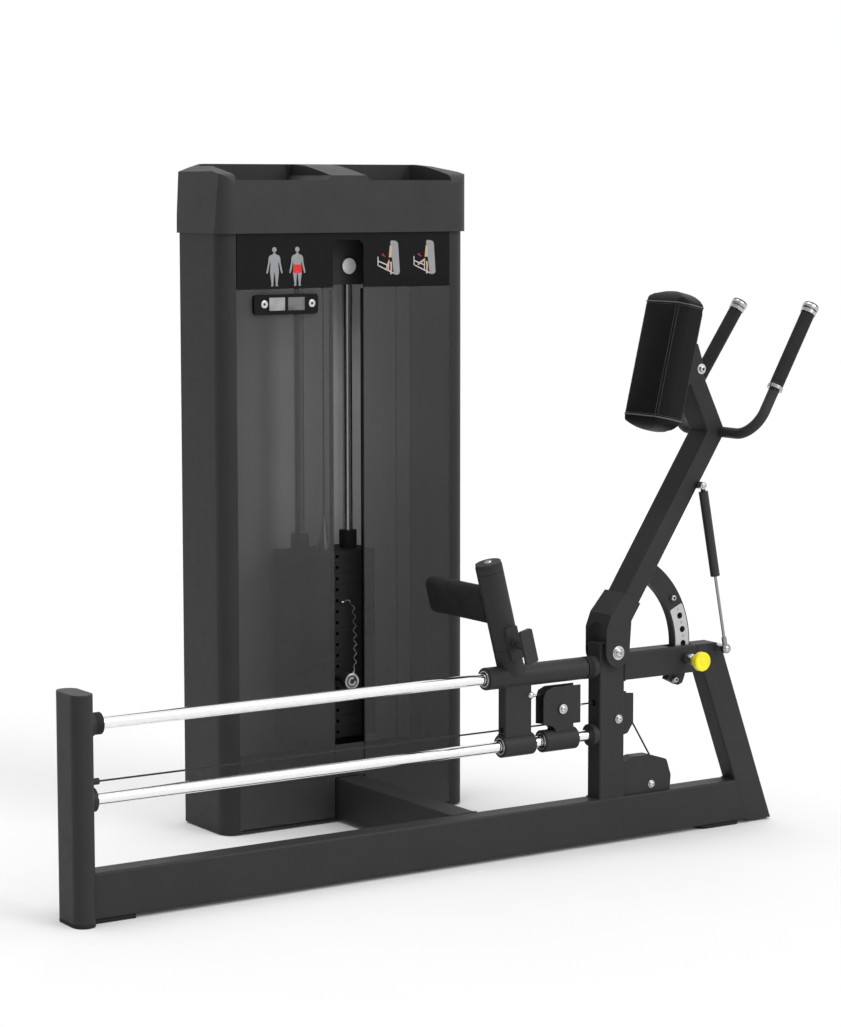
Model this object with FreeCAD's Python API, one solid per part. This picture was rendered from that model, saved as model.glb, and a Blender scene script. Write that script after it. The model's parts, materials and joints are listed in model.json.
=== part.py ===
import FreeCAD, Part
import math
import os
from FreeCAD import Vector

# Standing glute machine. Millimetres, +Z up, long base beam along X, weight tower on the +Y side.
# The layout is drawn from the rail post and the base beam's front face, then moved so that the
# origin is the centre of the footprint on the floor.
ORIGIN_X = 940.5
ORIGIN_Y = 327.8

MID_Y = 29.0                 # middle plane of the base beam, rails, arm and post
WALL = 3.5                   # tube wall
TUBE_CORNER = 5.0            # rounding along every square tube

BEAM_DEPTH = 58.0
BEAM_BOTTOM = 9.0
BEAM_TOP = 115.0
FOOT_THICKNESS = 9.0

POST_X = -47.1               # rail post, flat-oval tube
POST_LONG = 115.0
POST_SHORT = 53.0
POST_TOP = 517.0
POST_CAP = 4.0
POST_FACE = POST_X + POST_SHORT / 2

TUBE_DEPTH = 52.0            # upright, top beam and rear leg
TUBE_FRONT = MID_Y - TUBE_DEPTH / 2
TUBE_BACK = MID_Y + TUBE_DEPTH / 2
UPRIGHT_LEFT = 1372.0
UPRIGHT_RIGHT = 1448.0
UPRIGHT_TOP = 505.0
TOP_BEAM_LOW = 407.0
TOP_BEAM_HIGH = 477.0
LEG_SLOPE = 0.364            # sideways run of the rear leg per unit of height
LEG_FRONT_FOOT = 1844.5      # X of the leg's two faces at the floor
LEG_REAR_FOOT = 1926.0
LEG_BOTTOM = 5.0

RAIL_RADIUS = 14.0
UPPER_RAIL_Z = 445.0
LOWER_RAIL_Z = 275.0
SLEEVE_RADIUS = 27.5
RAIL_BORE = RAIL_RADIUS + 0.05

CABLE_RADIUS = 2.2
FIXED_STRAND_Z = 315.0       # from the post to the carriage pulley's underside
ANCHOR_STRAND_Z = 391.0      # from the carriage pulley's top to the foot carriage
FEED_STRAND_Z = 355.0        # from the pulley carriage to the upright's pulley
PULLEY_BORE = 8.05
AXLE_RADIUS = 8.0
PULLEY_WIDTH = 16.0
GROOVE_RADIUS = 5.0
CARRIAGE_PULLEY = (1264.5, 353.0)
CARRIAGE_PULLEY_RADIUS = 42.0
UPRIGHT_PULLEY = (1430.0, 312.0)
BASE_PULLEY = (1540.0, 134.0)
GUIDE_PULLEY_RADIUS = 47.0
GUIDE_PITCH_RADIUS = 43.0

MAST_LEAN = 14.47            # degrees from vertical, towards -X
MAST_RADIUS = 33.0
MAST_FOOT = Vector(1127.0, MID_Y, UPPER_RAIL_Z)
MAST_JOINT = 75.0            # distances along the mast's axis
MAST_TOP = 284.0
SPINDLE_RADIUS = 18.0
SPINDLE_TOP = 250.0
HANDLE_HEIGHT = 90.0
FOOT_PAD_START = 63.0
FOOT_PAD_END = 310.0

PIVOT = (1414.0, 481.5)      # X, Z of the chest arm's pivot
PIVOT_BOLT_RADIUS = 12.0
ARM_DEPTH = 75.0
ARM_WIDTH = 50.0
ARM_FRONT = MID_Y - ARM_DEPTH / 2
ARM_BACK = MID_Y + ARM_DEPTH / 2
ARM_PLATE = 6.0
ARM_FOOT = (1446.8, 590.3)   # centreline of the arm: foot, bend and end at the pad board
ARM_BEND = (1721.9, 1014.5)
ARM_END = (1624.2, 1215.0)
SECTOR_HOLE_RADIUS = 227.0
SECTOR_INNER = 199.0
SECTOR_OUTER = 249.0
SECTOR_FRONT = 19.0
SECTOR_BACK = 39.0
SECTOR_HOLE_ANGLES = (18.3, 9.2, 0.1, -9.0)
LOCK_PIN_RADIUS = 7.95
LOCK_PIN_ANGLE = -9.0

PAD_LEAN = 13.41             # degrees from vertical, top towards +X
PAD_FRONT = Vector(1540.9, MID_Y, 1202.0)
PAD_THICKNESS = 70.0
PAD_END_DROP = 26.0          # how far the domed ends fall from the middle to the sides
PAD_HALF_WIDTH = 82.0
PAD_FACE_HALF_WIDTH = 62.0
PAD_BEVEL = 27.0
PAD_HALF_LENGTH = 142.0      # to the piping at each end
PAD_CROWN = 34.0

HANDLE_ROOT = (1739.0, 1012.0)
HANDLE_DIRECTION = Vector(0.5345, 0.0, 0.8452)
HANDLE_CORNER = 162.0        # half spacing where the grip lines meet the cross run
HANDLE_TAPER = 0.0616        # inward run of each grip line per unit of height along it
HANDLE_RADIUS = 13.5
HANDLE_BEND = 65.0
GRIP_START = 141.0
GRIP_END = 347.0
GRIP_RADIUS = 17.5

STUD_UPPER = (1663.4, 882.9)     # gas spring ends, X and Z
STUD_LOWER = (1743.2, 464.9)
SPRING_FRONT = -32.5
SPRING_BACK = -20.5

TOWER_LEFT = 639.0
TOWER_RIGHT = 1365.0
TOWER_FRONT = 583.0
TOWER_BACK = 800.0
TOWER_CORNER = 40.0          # front corners
TOWER_BACK_CORNER = 5.0
TOWER_FLOOR = 9.0
TOWER_HEAD = 1509.0          # underside of the cap
PANEL_LEFT = 681.0
PANEL_RIGHT = 1312.0
SLOT_LEFT = 960.0
SLOT_RIGHT = 1051.0
PANEL_TOP = 1370.0
CAP_FRONT = 574.0
CAP_BACK = 803.0
CAP_FLARE = 6.0              # overhang of the cap's lower edge past the tower's sides
CAP_FRONT_EDGE = 1640.0
CAP_TOP = 1681.0
WING_TOP = 1661.5
HUMP_LEFT = 940.0
HUMP_RIGHT = 1066.0

STACK_X = 1004.4
STACK_Y = 706.4
PLATE_LENGTH = 236.0
PLATE_DEPTH = 130.0
PLATE_PITCH = 28.6
PLATE_THICKNESS = 28.0
TOP_HOLE_Z = 679.1
LIFTED_PLATES = 11
FIXED_PLATES = 5
ROD_SPACING = 145.0
GUIDE_ROD_RADIUS = 12.7
SELECTOR_RADIUS = 13.0
PIN_RADIUS = 4.95
PIN_HOLE_RADIUS = 5.0
LANYARD_RADIUS = 5.5         # outside of the curly cord
LANYARD_ROUTE = (
    (1014.0, 634.5, 561.0),
    (1036.0, 634.5, 567.0),
    (1047.0, 631.0, 545.0),
    (1044.0, 621.0, 505.0),
    (1037.0, 608.0, 462.0),
    (1030.0, 596.0, 422.0),
    (1024.0, 588.0, 398.0),
    (1017.0, 586.0, 382.5),
)
CABLE_DROP_X = 1226.4
TOP_PULLEY_Z = 1423.0
TOP_PULLEY_RADIUS = 40.0
TOP_PULLEY_PITCH = 36.0
HOUSING_LOW = 1376.0
HOUSING_FRONT = 642.0

UP = Vector(0, 0, 1)
ACROSS = Vector(0, 1, 0)
ALONG = Vector(1, 0, 0)

shapes = {}


def box(x0, x1, y0, y1, z0, z1):
    return Part.makeBox(x1 - x0, y1 - y0, z1 - z0, Vector(x0, y0, z0))


def rod(start, end, radius):
    axis = end - start
    return Part.makeCylinder(radius, axis.Length, start, axis)


def rod_y(x, z, y0, y1, radius):
    return rod(Vector(x, y0, z), Vector(x, y1, z), radius)


def rod_z(x, y, z0, z1, radius):
    return rod(Vector(x, y, z0), Vector(x, y, z1), radius)


def rod_x(x0, x1, z, radius, y=MID_Y):
    return rod(Vector(x0, y, z), Vector(x1, y, z), radius)


def extrude(points, depth):
    wire = Part.makePolygon(points + [points[0]])
    return Part.Face(wire).extrude(depth)


def side_prism(outline, y0, y1):
    points = [Vector(x, y0, z) for x, z in outline]
    return extrude(points, Vector(0, y1 - y0, 0))


def union(first, *others):
    for other in others:
        first = first.fuse(other)
    return first.removeSplitter()


def round_edges(shape, radius, chosen):
    edges = [edge for edge in shape.Edges if chosen(edge)]
    return shape.makeFillet(radius, edges)


def runs_along(axis):
    def test(edge):
        if len(edge.Vertexes) != 2:
            return False
        step = edge.Vertexes[1].Point - edge.Vertexes[0].Point
        return step.Length > 1e-6 and abs(abs(step.normalize().dot(axis)) - 1) < 1e-6
    return test


def is_high_crosswise(edge):
    return runs_along(ACROSS)(edge) and edge.Vertexes[0].Z > BEAM_TOP + 15


def stadium(cx, cy, long_y, short_x, z0, z1):
    radius = short_x / 2
    reach = long_y / 2 - radius
    middle = box(cx - radius, cx + radius, cy - reach, cy + reach, z0, z1)
    near = rod(Vector(cx, cy - reach, z0), Vector(cx, cy - reach, z1), radius)
    far = rod(Vector(cx, cy + reach, z0), Vector(cx, cy + reach, z1), radius)
    return union(middle, near, far)


def tube(x0, x1, y0, y1, z0, z1, axis):
    outer = round_edges(box(x0, x1, y0, y1, z0, z1), TUBE_CORNER, runs_along(axis))
    grow = [0 if abs(axis.dot(side)) > 0.5 else WALL for side in (ALONG, ACROSS, UP)]
    inner = box(x0 + grow[0], x1 - grow[0], y0 + grow[1], y1 - grow[1], z0 + grow[2], z1 - grow[2])
    return outer.cut(inner)


def pulley(centre, radius, pitch, y0, y1):
    x, z = centre
    middle = (y0 + y1) / 2
    wheel = rod_y(x, z, y0, y1, radius)
    groove_line = pitch + GROOVE_RADIUS - CABLE_RADIUS - 0.1
    groove = Part.makeTorus(groove_line, GROOVE_RADIUS, Vector(x, middle, z), ACROSS)
    return wheel.cut(groove).cut(rod_y(x, z, y0, y1, PULLEY_BORE))


def leg_x(foot, z):
    return foot - LEG_SLOPE * z


def polar(radius, angle):
    turn = math.radians(angle)
    return (PIVOT[0] + radius * math.cos(turn), PIVOT[1] + radius * math.sin(turn))


def build_base():
    beam = tube(POST_FACE, 1900.0, 0.0, BEAM_DEPTH, BEAM_BOTTOM, BEAM_TOP, ALONG)
    leg_side = [(leg_x(LEG_FRONT_FOOT, 0), 0), (leg_x(LEG_FRONT_FOOT, 130), 130), (2000, 130), (2000, 0)]
    beam = beam.cut(side_prism(leg_side, -10, 70))
    beam = beam.cut(box(1480, 1600, 16, 42, 100, 120))
    beam = beam.cut(box(970, 1038, 50, 60, 13, 111))
    shapes["base_beam"] = beam

    post = stadium(POST_X, MID_Y, POST_LONG, POST_SHORT, FOOT_THICKNESS, POST_TOP)
    inner = (POST_LONG - 2 * WALL, POST_SHORT - 2 * WALL)
    inside = stadium(POST_X, MID_Y, *inner, FOOT_THICKNESS, POST_TOP)
    shapes["rail_post"] = post.cut(inside)
    lid = stadium(POST_X, MID_Y, POST_LONG, POST_SHORT, POST_TOP, POST_TOP + POST_CAP)
    lid = round_edges(lid, 1.5, lambda edge: all(v.Z > POST_TOP + 1 for v in edge.Vertexes))
    plug = stadium(POST_X, MID_Y, inner[0] - 1, inner[1] - 1, POST_TOP - 25, POST_TOP)
    shapes["post_cap"] = union(lid, plug)

    shapes["cross_tube"] = tube(966.0, 1042.0, BEAM_DEPTH, 789.0, BEAM_BOTTOM, BEAM_TOP, ACROSS)

    upright = tube(UPRIGHT_LEFT, UPRIGHT_RIGHT, TUBE_FRONT, TUBE_BACK, BEAM_TOP, UPRIGHT_TOP, UP)
    upright = upright.fuse(box(UPRIGHT_LEFT + 2, UPRIGHT_RIGHT - 2, 5, 53, UPRIGHT_TOP - WALL, UPRIGHT_TOP))
    px, pz = PIVOT
    for y0, y1 in ((ARM_FRONT + 0.3, TUBE_FRONT), (TUBE_BACK, ARM_BACK - 0.3)):
        upright = upright.fuse(rod_y(px, pz, y0, y1, 20.0))
    upright = upright.cut(rod_y(px, pz, -20, 80, PIVOT_BOLT_RADIUS))
    upright = upright.cut(rod_x(UPRIGHT_LEFT - 5, UPRIGHT_LEFT + 10, FEED_STRAND_Z, 8.0))
    slot_half = math.sqrt(GUIDE_PULLEY_RADIUS ** 2 - 18 ** 2) + 8
    pulley_z = UPRIGHT_PULLEY[1]
    upright = upright.cut(box(1440, 1460, 17, 41, pulley_z - slot_half, pulley_z + slot_half))
    cheek = [(1448, 375), (1482, 371), (1482, 297), (1465, 272), (1448, 268)]
    for y0 in (12.0, 42.0):
        upright = upright.fuse(side_prism(cheek, y0, y0 + 4))
    upright = upright.cut(rod_y(UPRIGHT_PULLEY[0], pulley_z, 0, 60, AXLE_RADIUS))
    shapes["upright_post"] = upright

    low_x = leg_x(LEG_FRONT_FOOT, TOP_BEAM_LOW)
    high_x = leg_x(LEG_FRONT_FOOT, TOP_BEAM_HIGH)
    outline = [
        (UPRIGHT_RIGHT, TOP_BEAM_LOW),
        (UPRIGHT_RIGHT, TOP_BEAM_HIGH),
        (high_x, TOP_BEAM_HIGH),
        (low_x, TOP_BEAM_LOW),
    ]
    cavity_z = (TOP_BEAM_LOW + WALL, TOP_BEAM_HIGH - WALL)
    cavity = box(UPRIGHT_RIGHT - 5, 1800, TUBE_FRONT + WALL, TUBE_BACK - WALL, *cavity_z)
    lock_x, lock_z = polar(SECTOR_HOLE_RADIUS, LOCK_PIN_ANGLE)
    top_beam = side_prism(outline, TUBE_FRONT, TUBE_BACK)
    top_beam = round_edges(top_beam, TUBE_CORNER, runs_along(ALONG)).cut(cavity)
    top_beam = top_beam.cut(box(1592, 1671, 15.5, 41, TOP_BEAM_LOW - 5, TOP_BEAM_HIGH + 5))
    shapes["top_beam"] = top_beam.cut(rod_y(lock_x, lock_z, 0, 10, LOCK_PIN_RADIUS + 0.05))

    outline = [
        (leg_x(LEG_FRONT_FOOT, LEG_BOTTOM), LEG_BOTTOM),
        (high_x, TOP_BEAM_HIGH),
        (1738.0, TOP_BEAM_HIGH),
        (leg_x(LEG_REAR_FOOT, 453), 453),
        (leg_x(LEG_REAR_FOOT, LEG_BOTTOM), LEG_BOTTOM),
    ]
    cavity = [
        (leg_x(LEG_FRONT_FOOT + WALL, 0), 0),
        (leg_x(LEG_FRONT_FOOT + WALL, TOP_BEAM_HIGH - WALL), TOP_BEAM_HIGH - WALL),
        (1736.0, TOP_BEAM_HIGH - WALL),
        (leg_x(LEG_REAR_FOOT - WALL, 451), 451),
        (leg_x(LEG_REAR_FOOT - WALL, 0), 0),
    ]
    leg = side_prism(outline, TUBE_FRONT, TUBE_BACK)
    leg_axis = Vector(-LEG_SLOPE, 0, 1).normalize()
    leg = round_edges(leg, TUBE_CORNER, runs_along(leg_axis))
    shapes["rear_leg"] = leg.cut(side_prism(cavity, TUBE_FRONT + WALL, TUBE_BACK - WALL))

    feet = stadium(POST_X, MID_Y, POST_LONG, POST_SHORT, 0, FOOT_THICKNESS)
    feet = union(feet, box(POST_FACE - 5, 84, 1, 57, 0, FOOT_THICKNESS))
    right = round_edges(box(1692, 1822, 1, 57, 0, FOOT_THICKNESS), 20.0, runs_along(UP))
    pads = [feet, right]
    for x in (690, 1300):
        for y in (625, 765):
            pads.append(rod(Vector(x, y, 0), Vector(x, y, TOWER_FLOOR - 5), 24.0))
    shapes["base_feet"] = Part.makeCompound(pads)


def build_rails():
    rails = [rod_x(POST_FACE, UPRIGHT_LEFT, z, RAIL_RADIUS) for z in (UPPER_RAIL_Z, LOWER_RAIL_Z)]
    shapes["slide_rails"] = Part.makeCompound(rails)

    flanges = [
        collar(POST_FACE, -6.0, UPPER_RAIL_Z, 27.5),
        collar(POST_FACE, -3.0, LOWER_RAIL_Z, 27.5),
        collar(1357.0, UPRIGHT_LEFT, UPPER_RAIL_Z, 27.5),
        collar(1357.0, UPRIGHT_LEFT, LOWER_RAIL_Z, 27.5),
        rod_x(POST_FACE, 9.0, FIXED_STRAND_Z, 7.5),
    ]
    shapes["rail_flanges"] = Part.makeCompound(flanges)
    bumpers = [collar(-6.0, 14.0, UPPER_RAIL_Z, 25.0), collar(1340.0, 1357.0, UPPER_RAIL_Z, 28.0)]
    shapes["rail_bumpers"] = Part.makeCompound(bumpers)


def collar(x0, x1, z, radius, bore=RAIL_RADIUS):
    return rod_x(x0, x1, z, radius).cut(rod_x(x0 - 1, x1 + 1, z, bore))


def build_foot_carriage():
    upper = rod_x(1046, 1337, UPPER_RAIL_Z, SLEEVE_RADIUS)
    lower = rod_x(1091, 1181, LOWER_RAIL_Z, SLEEVE_RADIUS)
    web = round_edges(box(1095.5, 1173, 13, 45, LOWER_RAIL_Z, UPPER_RAIL_Z), 3.0, runs_along(UP))
    anchor = rod_x(1165, 1181, ANCHOR_STRAND_Z, 9.0)
    stub = mast_rod(8.0, MAST_JOINT - 0.4, MAST_RADIUS)
    spindle = mast_rod(MAST_JOINT - 5, SPINDLE_TOP, SPINDLE_RADIUS)
    groove = mast_rod(HANDLE_HEIGHT - 8, HANDLE_HEIGHT + 8, SPINDLE_RADIUS + 1)
    groove = groove.cut(mast_rod(HANDLE_HEIGHT - 9, HANDLE_HEIGHT + 9, 14.0))
    frame = union(upper, lower, web, anchor, stub, spindle).cut(groove)
    for z in (UPPER_RAIL_Z, LOWER_RAIL_Z):
        frame = frame.cut(rod_x(1000, 1400, z, RAIL_BORE))
    shapes["foot_carriage_frame"] = frame.cut(rod_x(1090, 1190, FIXED_STRAND_Z, 7.0))


def mast_point(s, out=0.0, y=MID_Y):
    lean = math.radians(MAST_LEAN)
    x = MAST_FOOT.x - s * math.sin(lean) + out * math.cos(lean)
    z = MAST_FOOT.z + s * math.cos(lean) + out * math.sin(lean)
    return Vector(x, y, z)


def mast_rod(s0, s1, radius):
    return rod(mast_point(s0), mast_point(s1), radius)


def mast_block(s0, s1, out0, out1, y0, y1, corner=0.0):
    block = box(out0, out1, y0, y1, s0, s1)
    if corner:
        block = round_edges(block, corner, runs_along(ACROSS))
    block.rotate(Vector(0, 0, 0), ACROSS, -MAST_LEAN)
    block.translate(Vector(MAST_FOOT.x, 0, MAST_FOOT.z))
    return block


def build_mast():
    head = mast_rod(MAST_JOINT, MAST_TOP, MAST_RADIUS)
    groove = mast_rod(MAST_TOP - 16, MAST_TOP - 14.5, MAST_RADIUS + 1)
    head = head.cut(groove.cut(mast_rod(MAST_TOP - 17, MAST_TOP - 13, MAST_RADIUS - 1.2)))
    neck = mast_block(147, 210, -16, 16, MID_Y, FOOT_PAD_START - 0.5)
    latch = mast_block(48, 132, -17, 17, -12.0, -5.0, 5.0)
    root = rod(mast_point(104, 0, MID_Y), mast_point(104, 0, -11.0), 14.0)
    guide = rod(mast_point(HANDLE_HEIGHT, 0, MID_Y), mast_point(HANDLE_HEIGHT, 0, -22.0), 12.0)
    lid = mast_rod(MAST_TOP, MAST_TOP + 8, MAST_RADIUS - 1.5)
    mast = union(head, neck, latch, root, guide, lid)
    mast = mast.cut(mast_rod(MAST_JOINT - 40, MAST_JOINT, MAST_RADIUS + 0.5))
    mast = mast.cut(mast_rod(MAST_JOINT - 1, SPINDLE_TOP + 2, SPINDLE_RADIUS + 0.05))
    bore = rod(mast_point(HANDLE_HEIGHT, 0, MID_Y - 16), mast_point(HANDLE_HEIGHT, 0, -30.0), 6.05)
    shapes["foot_mast"] = mast.cut(bore)

    pad = mast_block(132, 225, -22, 22, FOOT_PAD_START, FOOT_PAD_END, 20.0)
    shapes["foot_pad"] = round_edges(pad, 9.0, lambda edge: edge.Length > 20)

    pin = rod(mast_point(HANDLE_HEIGHT, 0, MID_Y - 15), mast_point(HANDLE_HEIGHT, 0, -64.0), 6.0)
    hub = rod(mast_point(HANDLE_HEIGHT, 0, -34.0), mast_point(HANDLE_HEIGHT, 0, -64.0), 11.0)
    blade = mast_block(HANDLE_HEIGHT - 42, HANDLE_HEIGHT + 42, -17, 17, -74.0, -64.0, 5.0)
    shapes["release_handle"] = union(pin, hub, blade)


def build_pulley_carriage():
    sleeve = rod_x(1213, 1310, LOWER_RAIL_Z, SLEEVE_RADIUS)
    neck = box(1244, 1298, 12, 46, 290, 306)
    cheek = [(1208, 318), (1208, 383), (1215, 400), (1233, 408), (1319, 408), (1319, 314)]
    cheek += [(1298, 314), (1298, 304), (1244, 304), (1236, 312)]
    cheeks = [side_prism(cheek, y0, y0 + 4) for y0 in (12.0, 42.0)]
    tie = box(1311.5, 1319, 12, 46, FEED_STRAND_Z - 10, FEED_STRAND_Z + 10)
    x, z = CARRIAGE_PULLEY
    axle = rod_y(x, z, 8, 50, AXLE_RADIUS)
    heads = [rod_y(x, z, 9, 12, 11.0), rod_y(x, z, 46, 49, 11.0)]
    frame = union(sleeve, neck, *cheeks, tie, axle, *heads)
    shapes["pulley_carriage_frame"] = frame.cut(rod_x(1200, 1330, LOWER_RAIL_Z, RAIL_BORE))
    half = PULLEY_WIDTH / 2
    wheel = pulley(CARRIAGE_PULLEY, CARRIAGE_PULLEY_RADIUS, 38.0, MID_Y - half, MID_Y + half)
    shapes["carriage_pulley"] = wheel


def build_fixed_pulleys():
    half = PULLEY_WIDTH / 2
    for name, centre in (("upright_pulley", UPRIGHT_PULLEY), ("base_pulley", BASE_PULLEY)):
        wheel = pulley(centre, GUIDE_PULLEY_RADIUS, GUIDE_PITCH_RADIUS, MID_Y - half, MID_Y + half)
        shapes[name] = wheel
    cover = [(1449, 115), (1449, 198), (1485, 210), (1537, 209), (1588, 193), (1602, 151), (1599, 115)]
    lining = [(1453, 114), (1453, 195), (1485, 206), (1536, 205), (1585, 190), (1598, 151), (1595, 114)]
    outside = round_edges(side_prism(cover, 12, 46), 12.0, is_high_crosswise)
    inside = round_edges(side_prism(lining, 16, 42), 8.0, is_high_crosswise)
    shell = outside.cut(inside)
    shell = shell.cut(box(1530, 1575, 23, 35, 180, 215))
    shell = shell.cut(rod_y(BASE_PULLEY[0], BASE_PULLEY[1], 0, 60, AXLE_RADIUS))
    shapes["base_pulley_cover"] = shell

    outer_x = CABLE_DROP_X - TOP_PULLEY_PITCH
    inner_x = STACK_X + TOP_PULLEY_PITCH
    y0 = STACK_Y - half
    y1 = STACK_Y + half
    for name, x in (("top_pulley_left", inner_x), ("top_pulley_right", outer_x)):
        shapes[name] = pulley((x, TOP_PULLEY_Z), TOP_PULLEY_RADIUS, TOP_PULLEY_PITCH, y0, y1)

    axles = [
        rod_y(UPRIGHT_PULLEY[0], UPRIGHT_PULLEY[1], -1, 59, AXLE_RADIUS),
        rod_y(BASE_PULLEY[0], BASE_PULLEY[1], 8, 50, AXLE_RADIUS),
    ]
    for x in (inner_x, outer_x):
        axle = rod_y(x, TOP_PULLEY_Z, HOUSING_FRONT - 5, 762, AXLE_RADIUS)
        axles.append(axle.fuse(rod_y(x, TOP_PULLEY_Z, HOUSING_FRONT - 6, HOUSING_FRONT, 20.0)))
    shapes["pulley_axles"] = Part.makeCompound(axles)

    housing = box(920, 1250, HOUSING_FRONT, 757, HOUSING_LOW, TOWER_HEAD)
    housing = housing.cut(box(910, 1260, HOUSING_FRONT + 4, 753, HOUSING_LOW + 4, 1503))
    for x in (STACK_X, CABLE_DROP_X):
        housing = housing.cut(rod_z(x, STACK_Y, HOUSING_LOW - 5, HOUSING_LOW + 9, 8.0))
    for x in (inner_x, outer_x):
        housing = housing.cut(rod_y(x, TOP_PULLEY_Z, HOUSING_FRONT - 1, 770, AXLE_RADIUS))
    shapes["top_pulley_housing"] = housing


def arc_cable(centre, pitch, start, sweep, y=MID_Y):
    turn = math.radians(start)
    hub = Vector(centre[0], y, centre[1])
    radial = Vector(math.cos(turn), 0, math.sin(turn))
    circle = Part.makeCircle(CABLE_RADIUS, hub + radial * pitch, radial.cross(ACROSS))
    return Part.Face(Part.Wire(circle)).revolve(hub, ACROSS, sweep)


def build_cables():
    shapes["cable_post_strand"] = rod_x(9, CARRIAGE_PULLEY[0], FIXED_STRAND_Z, CABLE_RADIUS)
    shapes["cable_anchor_strand"] = rod_x(1181, CARRIAGE_PULLEY[0], ANCHOR_STRAND_Z, CABLE_RADIUS)
    shapes["cable_feed_strand"] = rod_x(1319, UPRIGHT_PULLEY[0], FEED_STRAND_Z, CABLE_RADIUS)

    dx = BASE_PULLEY[0] - UPRIGHT_PULLEY[0]
    dz = BASE_PULLEY[1] - UPRIGHT_PULLEY[1]
    drop = math.hypot(dx, dz)
    side = Vector(-dz / drop, 0, dx / drop) * GUIDE_PITCH_RADIUS
    lean = math.degrees(math.atan2(dx, -dz))
    upper = Vector(UPRIGHT_PULLEY[0], MID_Y, UPRIGHT_PULLEY[1])
    lower = Vector(BASE_PULLEY[0], MID_Y, BASE_PULLEY[1])
    base_z = BASE_PULLEY[1] - GUIDE_PITCH_RADIUS
    left = (STACK_X + TOP_PULLEY_PITCH, TOP_PULLEY_Z)
    right = (CABLE_DROP_X - TOP_PULLEY_PITCH, TOP_PULLEY_Z)
    top_z = TOP_PULLEY_Z + TOP_PULLEY_PITCH
    runs = [
        arc_cable(UPRIGHT_PULLEY, GUIDE_PITCH_RADIUS, 90, 90 - lean),
        rod(upper + side, lower + side, CABLE_RADIUS),
        arc_cable(BASE_PULLEY, GUIDE_PITCH_RADIUS, lean, 90 + lean),
        rod_x(1045, BASE_PULLEY[0], base_z, CABLE_RADIUS),
        arc_cable(left, TOP_PULLEY_PITCH, 180, 90, STACK_Y),
        rod_x(left[0], right[0], top_z, CABLE_RADIUS, STACK_Y),
        arc_cable(right, TOP_PULLEY_PITCH, 90, 90, STACK_Y),
        rod_z(CABLE_DROP_X, STACK_Y, TOWER_FLOOR, TOP_PULLEY_Z, CABLE_RADIUS),
    ]
    shapes["cable_fixed_run"] = Part.makeCompound(runs)
    shapes["cable_stack_strand"] = rod_z(STACK_X, STACK_Y, 760, TOP_PULLEY_Z, CABLE_RADIUS)


def plan_box(x0, x1, y0, y1, z0, z1, corner):
    return round_edges(box(x0, x1, y0, y1, z0, z1), corner, runs_along(UP))


def tower_box(x0, x1, y0, y1, z0, z1, front_corner, back_corner):
    middle = (y0 + y1) / 2
    shape = box(x0, x1, y0, y1, z0, z1)
    upright = runs_along(UP)
    shape = round_edges(shape, front_corner, lambda edge: upright(edge) and edge.Vertexes[0].Y < middle)
    return round_edges(shape, back_corner, lambda edge: upright(edge) and edge.Vertexes[0].Y > y1 - 1)


def build_tower():
    x0, x1, y0, y1 = TOWER_LEFT, TOWER_RIGHT, TOWER_FRONT, TOWER_BACK
    shapes["tower_base"] = tower_box(x0, x1, y0, y1, 4, TOWER_FLOOR, TOWER_CORNER, TOWER_BACK_CORNER)

    outer = tower_box(x0, x1, y0, y1, TOWER_FLOOR, TOWER_HEAD, TOWER_CORNER, TOWER_BACK_CORNER)
    inner = (x0 + 3, x1 - 3, y0 + 3, y1 - 3, TOWER_FLOOR, TOWER_HEAD)
    shell = outer.cut(tower_box(*inner, TOWER_CORNER - 3, TOWER_BACK_CORNER - 3))
    sides = [
        shell.common(box(x0 - 1, PANEL_LEFT, y0 - 1, y1 + 1, TOWER_FLOOR, TOWER_HEAD)),
        shell.common(box(PANEL_RIGHT, x1 + 1, y0 - 1, y1 + 1, TOWER_FLOOR, TOWER_HEAD)),
    ]
    shapes["tower_columns"] = Part.makeCompound(sides)
    back = box(PANEL_LEFT - 12, PANEL_RIGHT + 12, y1 - 6, y1 - 3, TOWER_FLOOR, TOWER_HEAD)
    shapes["tower_back_panel"] = back.cut(box(964, 1044, y1 - 12, y1, 0, BEAM_TOP + 2))

    left = box(PANEL_LEFT, SLOT_LEFT, y0, y0 + 4, 12.4, PANEL_TOP)
    right = box(SLOT_RIGHT, PANEL_RIGHT, y0, y0 + 4, 12.4, PANEL_TOP)
    sill = box(SLOT_LEFT, SLOT_RIGHT, y0, y0 + 4, BEAM_TOP + 2, BEAM_TOP + 13)
    shapes["front_panel_left"] = left
    shapes["front_panel_right"] = union(right, sill)

    placard = box(PANEL_LEFT + 2, PANEL_RIGHT, y0, y0 + 4, PANEL_TOP + 1, TOWER_HEAD - 0.5)
    notch = box(SLOT_LEFT, SLOT_RIGHT, y0 - 1, y0 + 5, PANEL_TOP, 1490)
    notch = round_edges(notch, 18.0, lambda edge: runs_along(ACROSS)(edge) and edge.Vertexes[0].Z > 1489)
    shapes["instruction_placard"] = placard.cut(notch)

    body = round_edges(box(726, 910.5, 573, y0, 1307.5, 1358), 10.0, runs_along(ACROSS))
    for name, x in (("counter_button_left", 754.4), ("counter_button_right", 891.4)):
        body = body.cut(rod_y(x, 1334.0, 570, 580, 9.55))
        shapes[name] = rod_y(x, 1334.0, 571, 578.3, 9.5)
    shapes["counter_housing"] = body


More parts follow.
